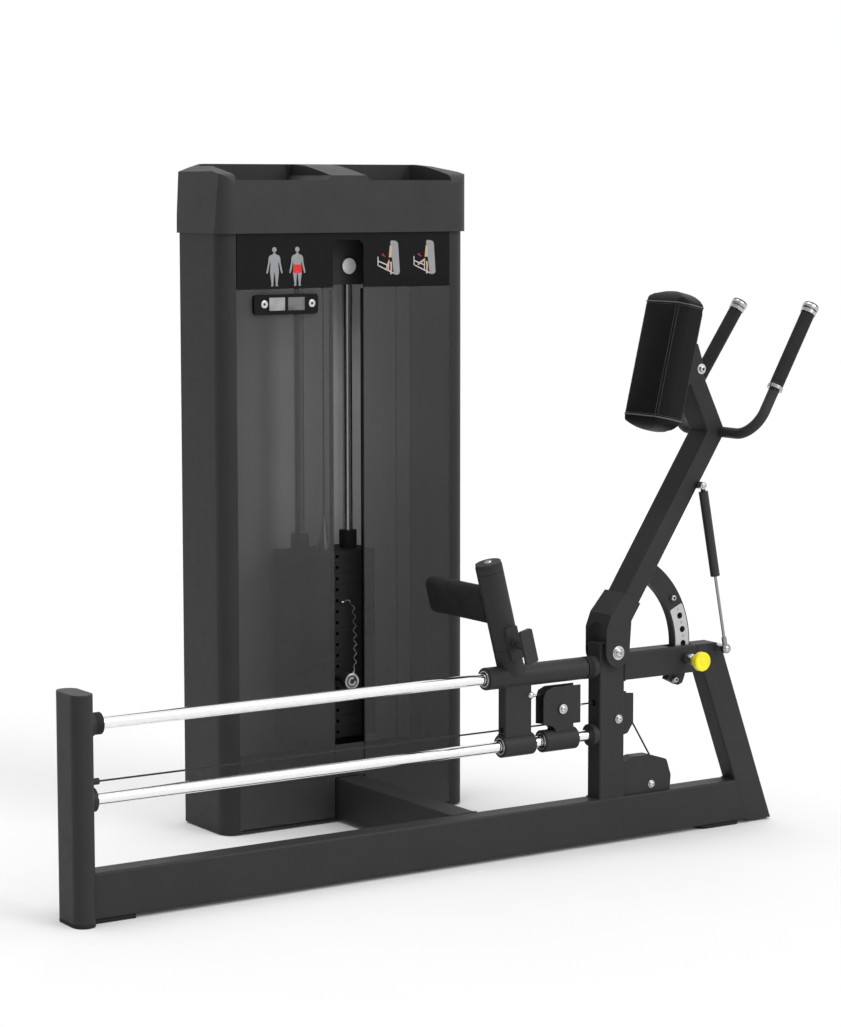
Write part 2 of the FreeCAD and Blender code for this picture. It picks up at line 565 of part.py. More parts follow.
def build_tower_cap():
    """A flared, crowned block with a wing at each side, two trays and a hump between them."""
    x0 = TOWER_LEFT - CAP_FLARE
    x1 = TOWER_RIGHT + CAP_FLARE
    front_view = [
        (x0, TOWER_HEAD),
        (x0 + CAP_FLARE, WING_TOP),
        (668, 1672),
        (698, CAP_TOP),
        (1325, CAP_TOP),
        (1342, 1672),
        (x1 - CAP_FLARE, WING_TOP),
        (x1, TOWER_HEAD),
    ]
    side_view = [
        (CAP_FRONT, TOWER_HEAD),
        (CAP_FRONT, 1652),
        (590, 1655),
        (640, 1665),
        (700, 1676),
        (760, CAP_TOP),
        (CAP_BACK - 4, CAP_TOP),
        (CAP_BACK, TOWER_HEAD),
    ]
    cap = side_prism(front_view, CAP_FRONT, CAP_BACK)
    cap = cap.common(extrude([Vector(x0, y, z) for y, z in side_view], Vector(x1 - x0, 0, 0)))
    corners = (TOWER_CORNER, TOWER_BACK_CORNER)
    cap = cap.common(tower_box(x0, x1, CAP_FRONT, CAP_BACK, TOWER_HEAD, 1700, *corners))
    for a, b in ((678, HUMP_LEFT), (HUMP_RIGHT, 1312)):
        cap = cap.cut(plan_box(a, b, 598, 776, 1598, 1720, 10.0))
        cap = cap.cut(box(a, b, 570, 608, CAP_FRONT_EDGE, 1720))

    for edge_x, inward in ((HUMP_LEFT, 1), (HUMP_RIGHT, -1)):
        slope = [(edge_x, CAP_FRONT_EDGE), (edge_x + 11 * inward, 1652)]
        slope += [(edge_x + 14 * inward, 1720), (edge_x, 1720)]
        cap = cap.cut(side_prism(slope, 570, 776))
    brow = [(570, 1634), (CAP_FRONT, 1634), (576, 1643), (581, 1650), (590, 1655), (590, 1720), (570, 1720)]
    for a, b in ((x0, 678), (1312, x1)):
        cap = cap.cut(extrude([Vector(a, y, z) for y, z in brow], Vector(b - a, 0, 0)))
    shapes["tower_cap"] = cap


def build_stack():
    rods = []
    rod_x_pair = (STACK_X - ROD_SPACING / 2, STACK_X + ROD_SPACING / 2)
    for x in rod_x_pair:
        rods.append(rod_z(x, STACK_Y, TOWER_FLOOR, HOUSING_LOW, GUIDE_ROD_RADIUS))
    shapes["guide_rods"] = Part.makeCompound(rods)

    lifted = [weight_plate(k, rod_x_pair) for k in range(1, LIFTED_PLATES + 1)]
    last = LIFTED_PLATES + FIXED_PLATES
    resting = [weight_plate(k, rod_x_pair) for k in range(LIFTED_PLATES + 1, last + 1)]
    shapes["lifted_weight_plates"] = Part.makeCompound(lifted)
    shapes["resting_weight_plates"] = Part.makeCompound(resting)

    top = weight_plate(0, rod_x_pair)
    plate_top = TOP_HOLE_Z - 14.3 + PLATE_THICKNESS
    for x in rod_x_pair:
        bush = rod_z(x, STACK_Y, plate_top, plate_top + 45, 23.0)
        bore = rod_z(x, STACK_Y, plate_top - 1, plate_top + 50, GUIDE_ROD_RADIUS + 0.05)
        top = top.fuse(bush).cut(bore)
    shapes["top_weight_plate"] = top.removeSplitter()

    bottom_z = TOP_HOLE_Z - 16 * PLATE_PITCH - 12
    stem = rod_z(STACK_X, STACK_Y, bottom_z, 736, SELECTOR_RADIUS - 2)
    neck = rod_z(STACK_X, STACK_Y, plate_top, 712, 18.0)
    bolt = rod_z(STACK_X, STACK_Y, 730, 760, 8.0)
    selector = union(stem, neck, bolt)
    for k in range(17):
        z = TOP_HOLE_Z - k * PLATE_PITCH
        selector = selector.cut(rod_y(STACK_X, z, STACK_Y - 30, STACK_Y + 30, PIN_HOLE_RADIUS))
    shapes["selector_rod"] = selector

    pin_z = TOP_HOLE_Z - LIFTED_PLATES * PLATE_PITCH
    stem = rod_y(STACK_X, pin_z, 580, STACK_Y + 16, PIN_RADIUS)
    neck = rod_y(STACK_X, pin_z, 590, 640.8, 8.5)
    knob = rod_y(STACK_X, pin_z, 571, 602, 20.0)
    knob = round_edges(knob, 5.0, lambda edge: edge.Length > 60 and len(edge.Vertexes) == 1)
    shapes["selector_pin"] = union(knob, neck, stem)

    foot = plan_box(950, 1059, 650, 762, BEAM_TOP, 200, 10.0)
    cushion = plan_box(956, 1053, 656, 756, 200, 207, 8.0)
    bore = rod_z(STACK_X, STACK_Y, 190, 210, 14.0)
    shapes["stack_pedestal"] = foot.cut(bore)
    shapes["stack_cushion"] = cushion.cut(bore)

    route = [Vector(*point) for point in LANYARD_ROUTE]
    shapes["pin_lanyard"] = cord_tube(route, LANYARD_RADIUS)


def cord_tube(route, radius):
    """Straight runs joined by tangent arcs, each as large as its two runs allow."""
    edges = []
    start = route[0]
    for before, corner, after in zip(route, route[1:], route[2:]):
        back = before - corner
        ahead = after - corner
        reach = 0.45 * min(back.Length, ahead.Length)
        half_angle = back.getAngle(ahead) / 2
        arc_radius = reach * math.tan(half_angle)
        print("cord arc radius", round(arc_radius, 1))
        back.normalize()
        ahead.normalize()
        bisector = (back + ahead).normalize()
        middle = corner + bisector * (arc_radius / math.sin(half_angle) - arc_radius)
        enter = corner + back * reach
        leave = corner + ahead * reach
        edges.append(Part.makeLine(start, enter))
        edges.append(Part.Arc(enter, middle, leave).toShape())
        start = leave
    edges.append(Part.makeLine(start, route[-1]))
    path = Part.Wire(edges)
    circle = Part.makeCircle(radius, route[0], route[1] - route[0])
    return path.makePipeShell([Part.Wire(circle)], True, False)


def weight_plate(k, rod_positions):
    low = TOP_HOLE_Z - k * PLATE_PITCH - 14.3
    x0 = STACK_X - PLATE_LENGTH / 2
    y0 = STACK_Y - PLATE_DEPTH / 2
    plate = box(x0, x0 + PLATE_LENGTH, y0, y0 + PLATE_DEPTH, low, low + PLATE_THICKNESS)
    plate = round_edges(plate, 8.0, runs_along(UP))
    for x in rod_positions:
        plate = plate.cut(rod_z(x, STACK_Y, low - 1, low + 40, GUIDE_ROD_RADIUS + 1))
    plate = plate.cut(rod_z(STACK_X, STACK_Y, low - 1, low + 40, SELECTOR_RADIUS))
    return plate.cut(rod_y(STACK_X, low + 14.3, y0 - 1, STACK_Y + 20, PIN_HOLE_RADIUS))


def arm_direction(start, end):
    dx = end[0] - start[0]
    dz = end[1] - start[1]
    length = math.hypot(dx, dz)
    return dx / length, dz / length


def offset_point(point, direction, along, left):
    dx, dz = direction
    return (point[0] + dx * along - dz * left, point[1] + dz * along + dx * left)


def arm_tube(start, end, mitre_start, mitre_end):
    solids = []
    direction = arm_direction(start, end)
    lengthwise = runs_along(Vector(direction[0], 0, direction[1]))
    for shrink in (0.0, WALL):
        half = ARM_WIDTH / 2 - shrink
        extra = 2.0 if shrink else 0.0
        length = math.hypot(end[0] - start[0], end[1] - start[1])
        outline = []
        for side in (1, -1):
            outline.append(offset_point(start, direction, mitre_start * side * half - extra, side * half))
        for side in (-1, 1):
            reach = length + mitre_end * side * half + extra
            outline.append(offset_point(start, direction, reach, side * half))
        solids.append(side_prism(outline, ARM_FRONT + shrink, ARM_BACK - shrink))
    return round_edges(solids[0], TUBE_CORNER, lengthwise).cut(solids[1])


def build_arm():
    lower_dir = arm_direction(ARM_FOOT, ARM_BEND)
    upper_dir = arm_direction(ARM_BEND, ARM_END)
    turn = math.atan2(upper_dir[1], upper_dir[0]) - math.atan2(lower_dir[1], lower_dir[0])
    mitre = math.tan(turn / 2)
    lower = arm_tube(ARM_FOOT, ARM_BEND, 0.0, -mitre)
    stud_x, stud_z = STUD_UPPER
    lower = lower.fuse(rod_y(stud_x, stud_z, -20.0, ARM_FRONT + 2, 9.0))
    shapes["lower_arm"] = lower
    upper = arm_tube(ARM_BEND, ARM_END, mitre, 0.0)

    px, pz = PIVOT
    bottom = [polar_about(px - 0.5, pz, 35.5, angle) for angle in range(180, 361, 12)]
    outline = bottom + [(1454, 558), (1481, 599), (1437, 628), (1392, 577), (1378, 541)]
    front = side_prism(outline, ARM_FRONT - ARM_PLATE, ARM_FRONT)
    back = side_prism(outline, ARM_BACK, ARM_BACK + ARM_PLATE)
    edge = [(1377, 530), (1378, 541), (1392, 577), (1437, 628), (1439.5, 626)]
    edge += [(1429.8, 610.6), (1397, 573), (1384, 539), (1383, 530)]
    web = side_prism(edge, ARM_FRONT - 1, ARM_BACK + 1)
    arch = Part.makeCylinder(34.0, 40.0, Vector(1360, MID_Y, 522), ALONG)
    bracket = union(front, back, web.cut(arch))
    shapes["pivot_bracket"] = bracket.cut(rod_y(px, pz, -30, 90, PIVOT_BOLT_RADIUS + 0.05))

    bolt = union(
        rod_y(px, pz, -20, 78, PIVOT_BOLT_RADIUS),
        rod_y(px, pz, -20.5, -14.8, 13.5),
        rod_y(px, pz, 72.8, 78.5, 13.5),
    )
    shapes["pivot_bolt"] = bolt

    wheel = rod_y(px, pz, SECTOR_FRONT, SECTOR_BACK, SECTOR_OUTER)
    wheel = wheel.fuse(rod_y(px, pz, SECTOR_FRONT - 1.5, SECTOR_FRONT, SECTOR_OUTER - 3))
    wheel = wheel.cut(rod_y(px, pz, 0, 60, SECTOR_INNER))
    dx, dz = lower_dir
    face = offset_point(ARM_FOOT, lower_dir, 0, -ARM_WIDTH / 2)
    far = offset_point(face, lower_dir, 400, 0)
    low = polar(400, -26.3)
    wedge = [(px, pz), low, (px + 400, pz - 100), (px + 420, pz + 420), far, face]
    sector = wheel.common(side_prism(wedge, 0, 60))
    sector = sector.cut(side_prism([polar(231, -28), polar(262, -28), polar(262, -21)], 0, 60))
    for angle in SECTOR_HOLE_ANGLES:
        x, z = polar(SECTOR_HOLE_RADIUS, angle)
        sector = sector.cut(rod_y(x, z, 0, 60, LOCK_PIN_RADIUS + 0.05))
    for radius, angle in ((225.7, 31.6), (220.0, -24.0)):
        x, z = polar(radius, angle)
        sector = sector.fuse(rod_y(x, z, 10, 48, 8.0))
    shapes["sector_plate"] = sector.removeSplitter()
    build_pad(upper)
    build_handlebar()


def polar_about(x, z, radius, angle):
    turn = math.radians(angle)
    return (x + radius * math.cos(turn), z + radius * math.sin(turn))


def pad_point(up, depth, y=MID_Y):
    lean = math.radians(PAD_LEAN)
    x = PAD_FRONT.x + up * math.sin(lean) + depth * math.cos(lean)
    z = PAD_FRONT.z + up * math.cos(lean) - depth * math.sin(lean)
    return Vector(x, y, z)


def place_on_pad(shape):
    shape.rotate(Vector(0, 0, 0), ACROSS, PAD_LEAN)
    shape.translate(Vector(PAD_FRONT.x, MID_Y, PAD_FRONT.z))
    return shape


def pad_slab(depth):
    """The space in front of a plane parallel to the pad's face."""
    outline = [(-300, 0), (300, 0), (300, depth), (-300, depth)]
    return extrude([pad_point(up, back, -60) for up, back in outline], Vector(0, 180, 0))


def pad_dome(full):
    """The prism whose rounded ends shape the pad across its width."""
    corner = full - PAD_END_DROP
    high = [Vector(0, -PAD_HALF_WIDTH, corner), Vector(0, 0, full), Vector(0, PAD_HALF_WIDTH, corner)]
    low = [Vector(0, -p.y, -p.z) for p in high]
    edges = [
        Part.Arc(*high).toShape(),
        Part.makeLine(high[2], low[0]),
        Part.Arc(*low).toShape(),
        Part.makeLine(low[2], high[0]),
    ]
    face = Part.Face(Part.Wire(edges))
    face.translate(Vector(-10, 0, 0))
    return face.extrude(Vector(PAD_THICKNESS + 20, 0, 0))


def build_pad(upper):
    plan = [
        (0, -PAD_FACE_HALF_WIDTH),
        (0, PAD_FACE_HALF_WIDTH),
        (PAD_BEVEL, PAD_HALF_WIDTH),
        (PAD_THICKNESS, PAD_HALF_WIDTH),
        (PAD_THICKNESS, -PAD_HALF_WIDTH),
        (PAD_BEVEL, -PAD_HALF_WIDTH),
    ]
    full = PAD_HALF_LENGTH + PAD_CROWN
    body = extrude([Vector(x, y, -full) for x, y in plan], Vector(0, 0, 2 * full))
    profile = [
        Vector(-1, 0, -PAD_HALF_LENGTH),
        Vector(PAD_THICKNESS * 0.4, 0, -full),
        Vector(PAD_THICKNESS + 1, 0, -full + 6),
    ]
    top = [Vector(p.x, 0, -p.z) for p in reversed(profile)]
    low_edge = Part.Arc(*profile).toShape()
    high_edge = Part.Arc(*top).toShape()
    right = Part.makeLine(profile[2], top[0])
    left = Part.makeLine(top[2], profile[0])
    side = Part.Face(Part.Wire([low_edge, right, high_edge, left]))
    side.translate(Vector(0, -100, 0))
    body = body.common(side.extrude(Vector(0, 200, 0)))
    shapes["chest_pad"] = place_on_pad(body.common(pad_dome(full)))

    board = round_edges(box(PAD_THICKNESS + 0.3, 78, -70, 70, -150, 150), 25.0, runs_along(ALONG))
    board = place_on_pad(board)
    cheek = [(1629, 1243), (1655, 1235), (1678, 1170), (1668, 1152), (1600, 1122)]
    plates = []
    for y0 in (ARM_FRONT - ARM_PLATE, ARM_BACK):
        plates.append(side_prism(cheek, y0, y0 + ARM_PLATE))
    bracket = union(board, *plates)
    bolt = rod_y(1666, 1173, ARM_FRONT - 12, ARM_BACK + 12, 7.0)
    shapes["pad_bracket"] = union(bracket, bolt).cut(pad_slab(PAD_THICKNESS + 0.3))
    shapes["upper_arm"] = upper.cut(pad_slab(78)).cut(rod_y(1666, 1173, -40, 120, 7.0))


def handle_point(along, y):
    reach = HANDLE_DIRECTION * along
    return Vector(HANDLE_ROOT[0] + reach.x, y, HANDLE_ROOT[1] + reach.z)


def grip_half_width(along):
    return HANDLE_CORNER - HANDLE_TAPER * along


def grip_rod(along0, along1, side, radius):
    start = handle_point(along0, MID_Y + side * grip_half_width(along0))
    end = handle_point(along1, MID_Y + side * grip_half_width(along1))
    return rod(start, end, radius)


def build_handlebar():
    edges = []
    ends = []
    for side in (-1, 1):
        corner = handle_point(0, MID_Y + side * HANDLE_CORNER)
        inward = Vector(0, -side, 0)
        top = handle_point(GRIP_END + 20, MID_Y + side * grip_half_width(GRIP_END + 20))
        outward = (top - corner).normalize()
        half_angle = inward.getAngle(outward) / 2
        tangent = HANDLE_BEND / math.tan(half_angle)
        bisector = (inward + outward).normalize()
        inner = corner + inward * tangent
        middle = corner + bisector * (HANDLE_BEND / math.sin(half_angle) - HANDLE_BEND)
        outer = corner + outward * tangent
        bend = Part.Arc(inner, middle, outer).toShape()
        edges += [bend, Part.makeLine(outer, top)]
        ends.append((inner, top, outward))
    edges.append(Part.makeLine(ends[0][0], ends[1][0]))
    path = Part.Wire(Part.sortEdges(edges)[0])
    circle = Part.makeCircle(HANDLE_RADIUS, path.OrderedVertexes[0].Point, ends[0][2])
    bar = path.makePipeShell([Part.Wire(circle)], True, False)

    grips = []
    for side in (-1, 1):
        bar = bar.fuse(grip_rod(GRIP_START - 10, GRIP_START - 1, side, 19.5))
        bar = bar.fuse(grip_rod(GRIP_END + 1, GRIP_END + 11, side, 19.5))
        knob = grip_rod(GRIP_END + 14, GRIP_END + 29, side, 20.0)
        knob = round_edges(knob, 6.0, lambda edge: edge.Length > 60 and len(edge.Vertexes) == 1)
        bar = bar.fuse(knob)
        grip = grip_rod(GRIP_START, GRIP_END, side, GRIP_RADIUS)
        grips.append(grip.cut(grip_rod(GRIP_START - 5, GRIP_END + 5, side, HANDLE_RADIUS)))
    shapes["handlebar"] = bar
    shapes["hand_grips"] = Part.makeCompound(grips)
    passage = rod(handle_point(0, MID_Y - 80), handle_point(0, MID_Y + 80), HANDLE_RADIUS)
    shapes["upper_arm"] = shapes["upper_arm"].cut(passage)
    shapes["lower_arm"] = shapes["lower_arm"].cut(passage)


def build_lock_pin():
    x, z = polar(SECTOR_HOLE_RADIUS, LOCK_PIN_ANGLE)
    boss = rod_y(x, z, -24, TUBE_FRONT, 12.5)
    corners = [polar_about(x, z, 14.5, 30 + 60 * k) for k in range(6)]
    nut = side_prism(corners, -34, -24)
    housing = union(boss, nut).cut(rod_y(x, z, -40, -13, 10.05))
    shapes["lock_pin_housing"] = housing.cut(rod_y(x, z, -20, 10, LOCK_PIN_RADIUS + 0.05))
    pin = rod_y(x, z, -60, 16.4, LOCK_PIN_RADIUS)
    neck = rod_y(x, z, -60, -35, 10.0)
    knob = rod_y(x, z, -69, -54.5, 23.5)
    knob = round_edges(knob, 4.0, lambda edge: edge.Length > 60 and len(edge.Vertexes) == 1)
    shapes["lock_pin"] = union(pin, neck, knob)


def build_gas_spring():
    x0, z0 = STUD_UPPER
    x1, z1 = STUD_LOWER
    middle_y = (SPRING_FRONT + SPRING_BACK) / 2
    top = Vector(x0, middle_y, z0)
    bottom = Vector(x1, middle_y, z1)
    axis = (bottom - top).normalize()
    length = (bottom - top).Length
    cylinder = union(
        rod(top + axis * 16, top + axis * 234, 12.0),
        rod(top + axis * 6, top + axis * 20, 6.0),
        rod_y(x0, z0, SPRING_FRONT, SPRING_BACK, 9.0),
    )
    shapes["gas_spring_cylinder"] = cylinder.cut(rod(top + axis * 30, top + axis * 240, 4.05))
    eye = rod_y(x1, z1, SPRING_FRONT, SPRING_BACK, 12.0)
    piston = rod(top + axis * 200, top + axis * (length - 6), 4.0)
    socket = rod(top + axis * (length - 30), top + axis * (length - 8), 6.5)
    shapes["gas_spring_rod"] = union(eye, piston, socket).cut(rod_y(x1, z1, -50, 0, 8.05))
    boss = rod_y(x1, z1, SPRING_BACK + 0.5, TUBE_FRONT, 11.0)
    pin = rod_y(x1, z1, SPRING_FRONT, TUBE_FRONT, 8.0)
    pins = [*shapes.pop("pulley_axles").Solids, shapes.pop("pivot_bolt"), union(boss, pin)]
    shapes["frame_pins"] = Part.makeCompound(pins)


build_base()
build_rails()
build_foot_carriage()
build_mast()
build_pulley_carriage()
build_fixed_pulleys()
build_cables()
build_tower()
build_tower_cap()
build_stack()
build_arm()
build_lock_pin()
build_gas_spring()

os.makedirs("parts", exist_ok=True)
for node, shape in shapes.items():
    shape.translate(Vector(-ORIGIN_X, -ORIGIN_Y, 0))
    shape.exportStep("parts/" + node + ".step")
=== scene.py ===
import json
import math
import bmesh
import bpy
from mathutils import Matrix, Vector
from mathutils.bvhtree import BVHTree


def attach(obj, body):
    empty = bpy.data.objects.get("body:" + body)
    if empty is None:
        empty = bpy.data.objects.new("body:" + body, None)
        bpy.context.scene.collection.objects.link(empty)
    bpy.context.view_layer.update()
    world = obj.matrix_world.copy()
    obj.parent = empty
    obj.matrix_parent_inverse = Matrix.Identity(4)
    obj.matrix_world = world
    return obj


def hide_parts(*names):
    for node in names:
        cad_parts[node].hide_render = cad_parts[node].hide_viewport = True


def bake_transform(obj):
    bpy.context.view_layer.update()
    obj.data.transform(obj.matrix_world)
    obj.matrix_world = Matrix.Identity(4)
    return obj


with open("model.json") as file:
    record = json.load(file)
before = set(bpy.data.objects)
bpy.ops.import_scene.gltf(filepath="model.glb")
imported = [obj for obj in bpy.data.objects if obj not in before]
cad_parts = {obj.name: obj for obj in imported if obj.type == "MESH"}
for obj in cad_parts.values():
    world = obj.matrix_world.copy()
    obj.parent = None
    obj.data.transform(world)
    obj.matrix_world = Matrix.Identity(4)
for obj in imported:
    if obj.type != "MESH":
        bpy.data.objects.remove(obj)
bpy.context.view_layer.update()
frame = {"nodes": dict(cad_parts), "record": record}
NODES = frame["nodes"]
SLOTS = {sub["node"]: sub["material_slot"] for sub in frame["record"]["subparts"]}

# A standing glute machine. Lengths are millimetres in the layout that part.py draws in: X from the rail
# post, Y from the base beam's front face. at() turns a place in the layout into metres in the frame.
ORIGIN_X = 940.5
ORIGIN_Y = 327.8
MM = 0.001
UP = Vector((0, 0, 1))
ACROSS = Vector((0, 1, 0))
ALONG = Vector((1, 0, 0))

MID_Y = 29.0                 # middle plane of the base beam, rails, arm and post
BEAM_BOTTOM = 9.0
BEAM_TOP = 115.0
BEAM_BACK = 58.0
POST_FACE = -20.6
TUBE_FRONT = 3.0             # upright, top beam and rear leg
TUBE_BACK = 55.0
UPRIGHT_LEFT = 1372.0
UPRIGHT_RIGHT = 1448.0
TOP_BEAM_LOW = 407.0
TOP_BEAM_HIGH = 477.0
LEG_SLOPE = 0.364            # sideways run of the rear leg per unit of height
LEG_FRONT_FOOT = 1844.5

UPPER_RAIL_Z = 445.0
LOWER_RAIL_Z = 275.0
CABLE_RADIUS = 2.2
FIXED_STRAND_Z = 315.0
ANCHOR_STRAND_Z = 391.0
FEED_STRAND_Z = 355.0
CARRIAGE_PULLEY = (1264.5, 353.0)
CARRIAGE_PITCH = 38.0
UPRIGHT_PULLEY = (1430.0, 312.0)
BASE_PULLEY = (1540.0, 134.0)

PIVOT = (1414.0, 481.5)      # X, Z of the chest arm's pivot
ARM_FRONT = -14.5            # outer faces of the arm's side plates
ARM_BACK = 72.5
HOLE_RADIUS = 227.0          # from the pivot to the sector plate's holes
HOLE_ANGLES = (18.3, 9.2, 0.1, -9.0)
STUD_UPPER = (1663.4, 882.9)     # gas spring ends, X and Z
STUD_LOWER = (1743.2, 464.9)
SPRING_FRONT = -32.5

TOWER_BACK = 800.0
SLOT_LEFT = 960.0
SLOT_RIGHT = 1051.0
STACK_X = 1004.4
STACK_Y = 706.4
STEM_TOP = 760.0
PIN_Z = 364.5
TOP_PULLEY_Z = 1423.0
TOP_PULLEYS = (1040.4, 1190.4)


def at(x, y, z):
    return Vector((x - ORIGIN_X, y - ORIGIN_Y, z)) * MM


def put(name, data):
    """A new object of the data, in the scene."""
    item = bpy.data.objects.new(name, data)
    bpy.context.scene.collection.objects.link(item)
    return item


def about_pivot(radius, degrees):
    """X and Z of a point on a circle round the arm's pivot, from +X towards +Z."""
    angle = math.radians(degrees)
    return PIVOT[0] + radius * math.cos(angle), PIVOT[1] + radius * math.sin(angle)


# ---------------------------------------------------------------- camera and light

IMAGE_HEIGHT = 1027
FOCAL_PIXELS = 2849.3
SENSOR = 36.0
CAMERA_PLACE = (-3.71937, -5.88811, 1.61844)
CAMERA_DOWN = 6.504
CAMERA_ROLL = 0.054
CAMERA_ROUND = 33.081
FLOOR_HALF = 14.0


def add_camera():
    data = bpy.data.cameras.new("camera")
    data.sensor_fit = "AUTO"
    data.sensor_width = SENSOR
    data.lens = FOCAL_PIXELS * SENSOR / IMAGE_HEIGHT
    data.clip_end = 100.0
    camera = put("camera", data)
    camera.location = CAMERA_PLACE
    camera.rotation_euler = [math.radians(turn) for turn in (90 - CAMERA_DOWN, CAMERA_ROLL, -CAMERA_ROUND)]
    bpy.context.scene.camera = camera


def add_sun(name, location, strength, angle):
    """A soft lamp of even strength everywhere, shining from the location towards the origin."""
    data = bpy.data.lights.new(name, "SUN")
    data.energy = strength
    data.angle = math.radians(angle)
    lamp = put(name, data)
    lamp.location = location
    lamp.rotation_euler = (-Vector(location)).to_track_quat("-Z", "Y").to_euler()


def add_world():
    """White surroundings that are darker towards -X, so that the faces on that side read as shaded."""
    world = bpy.data.worlds.new("studio")
    bpy.context.scene.world = world
    world.use_nodes = True
    tree = world.node_tree
    background = tree.nodes["Background"]
    background.inputs["Color"].default_value = (1.0, 1.0, 1.0, 1.0)
    direction = tree.nodes.new("ShaderNodeSeparateXYZ")
    tree.links.new(tree.nodes.new("ShaderNodeTexCoord").outputs["Generated"], direction.inputs[0])
    dim = tree.nodes.new("ShaderNodeMapRange")
    dim.inputs["From Min"].default_value = -0.9
    dim.inputs["From Max"].default_value = -0.1
    dim.inputs["To Min"].default_value = 0.35
    dim.inputs["To Max"].default_value = 1.0
    tree.links.new(direction.outputs["X"], dim.inputs["Value"])
    tree.links.new(dim.outputs["Result"], background.inputs["Strength"])


def add_floor():
    mesh = bpy.data.meshes.new("floor")
    corners = [(x * FLOOR_HALF, y * FLOOR_HALF, 0) for x, y in ((-1, -1), (1, -1), (1, 1), (-1, 1))]
    mesh.from_pydata(corners, [], [(0, 1, 2, 3)])
    mesh.materials.append(floor_material())
    put("floor", mesh)


def add_studio():
    add_world()
    add_sun("key", (2.2, -4.6, 3.6), 1.2, 35)
    add_sun("top", (-0.6, 0.0, 4.8), 1.5, 35)
    bpy.context.scene.view_settings.view_transform = "Standard"
    add_floor()


# ---------------------------------------------------------------- materials

class Shader:
    """A small builder round one node tree."""

    def __init__(self, name):
        self.material = bpy.data.materials.new(name)
        self.material.use_nodes = True
        self.tree = self.material.node_tree
        self.nodes = self.tree.nodes
        self.bsdf = self.nodes["Principled BSDF"]
        self.object_coords = self.nodes.new("ShaderNodeTexCoord").outputs["Object"]

    def link(self, a, b):
        self.tree.links.new(a, b)

    def set(self, **values):
        for key, value in values.items():
            self.bsdf.inputs[key.replace("_", " ")].default_value = value

    def mapping(self, scale):
        node = self.nodes.new("ShaderNodeMapping")
        node.inputs["Scale"].default_value = scale
        self.link(self.object_coords, node.inputs["Vector"])
        return node.outputs["Vector"]

    def noise(self, scale, detail=3.0, rough=0.55, vector=None):
        node = self.nodes.new("ShaderNodeTexNoise")
        node.inputs["Scale"].default_value = scale
        node.inputs["Detail"].default_value = detail
        node.inputs["Roughness"].default_value = rough
        self.link(vector or self.object_coords, node.inputs["Vector"])
        return node.outputs["Fac"]

    def voronoi(self, scale):
        node = self.nodes.new("ShaderNodeTexVoronoi")
        node.inputs["Scale"].default_value = scale
        self.link(self.object_coords, node.inputs["Vector"])
        return node.outputs["Distance"]

    def ramp(self, fac, stops):
        node = self.nodes.new("ShaderNodeValToRGB")
        while len(node.color_ramp.elements) < len(stops):
            node.color_ramp.elements.new(0.5)
        for element, (position, color) in zip(node.color_ramp.elements, stops):
            element.position = position
            element.color = (*color, 1.0)
        self.link(fac, node.inputs["Fac"])
        return node.outputs["Color"]

    def remap(self, fac, low, high, source=(0.0, 1.0)):
        node = self.nodes.new("ShaderNodeMapRange")
        node.inputs["From Min"].default_value = source[0]
        node.inputs["From Max"].default_value = source[1]
        node.inputs["To Min"].default_value = low
        node.inputs["To Max"].default_value = high
        self.link(fac, node.inputs["Value"])
        return node.outputs["Result"]

    def bump(self, height, strength, distance, normal=None):
        node = self.nodes.new("ShaderNodeBump")
        node.inputs["Strength"].default_value = strength
        node.inputs["Distance"].default_value = distance
        self.link(height, node.inputs["Height"])
        if normal is not None:
            self.link(normal, node.inputs["Normal"])
        return node.outputs["Normal"]

    def normal(self, socket):
        self.link(socket, self.bsdf.inputs["Normal"])

    def color(self, socket):
        self.link(socket, self.bsdf.inputs["Base Color"])

    def roughness(self, socket):
        self.link(socket, self.bsdf.inputs["Roughness"])


def shade(color, factor):
    return tuple(channel * factor for channel in color)


def painted(name, color, rough=0.5, grain=0.25, specular=0.18):
    """Powder coat: a fine orange-peel grain, faint cloudiness and uneven gloss."""
    s = Shader(name)
    cloud = s.noise(7.0, 4.0)
    s.color(s.ramp(cloud, [(0.3, shade(color, 0.93)), (0.7, shade(color, 1.07))]))
    s.roughness(s.remap(s.noise(40.0, 2.0), rough - 0.06, rough + 0.08))
    s.normal(s.bump(s.noise(900.0, 2.0, 0.6), grain, 0.0004))
    s.set(Specular_IOR_Level=specular)
    return s.material


def metal(name, color, rough, streak=(1.0, 60.0, 60.0), contrast=0.08):
    """Bright metal with fine drawn lines along one way."""
    s = Shader(name)
    lines = s.noise(30.0, 4.0, 0.6, s.mapping(streak))
    s.color(s.ramp(lines, [(0.3, shade(color, 1 - contrast)), (0.7, color)]))
    s.roughness(s.remap(lines, rough * 0.8, rough * 1.4 + 0.02))
    s.normal(s.bump(lines, 0.05, 0.0002))
    s.set(Metallic=1.0)
    return s.material


def plastic(name, color, rough=0.45, grain=0.2, specular=0.4):
    s = Shader(name)
    s.color(s.ramp(s.noise(15.0), [(0.3, shade(color, 0.92)), (0.7, shade(color, 1.08))]))
    s.roughness(s.remap(s.noise(60.0), rough - 0.05, rough + 0.07))
    s.normal(s.bump(s.voronoi(1400.0), grain, 0.0003))
    s.set(Specular_IOR_Level=specular)
    return s.material


def rubber(name, color=(0.012, 0.012, 0.012), rough=0.75):
    s = Shader(name)
    s.color(s.ramp(s.noise(25.0), [(0.3, shade(color, 0.8)), (0.75, shade(color, 1.4))]))
    s.roughness(s.remap(s.noise(90.0), rough - 0.1, rough + 0.1))
    s.normal(s.bump(s.noise(500.0, 3.0), 0.35, 0.0005))
    s.set(Specular_IOR_Level=0.2)
    return s.material


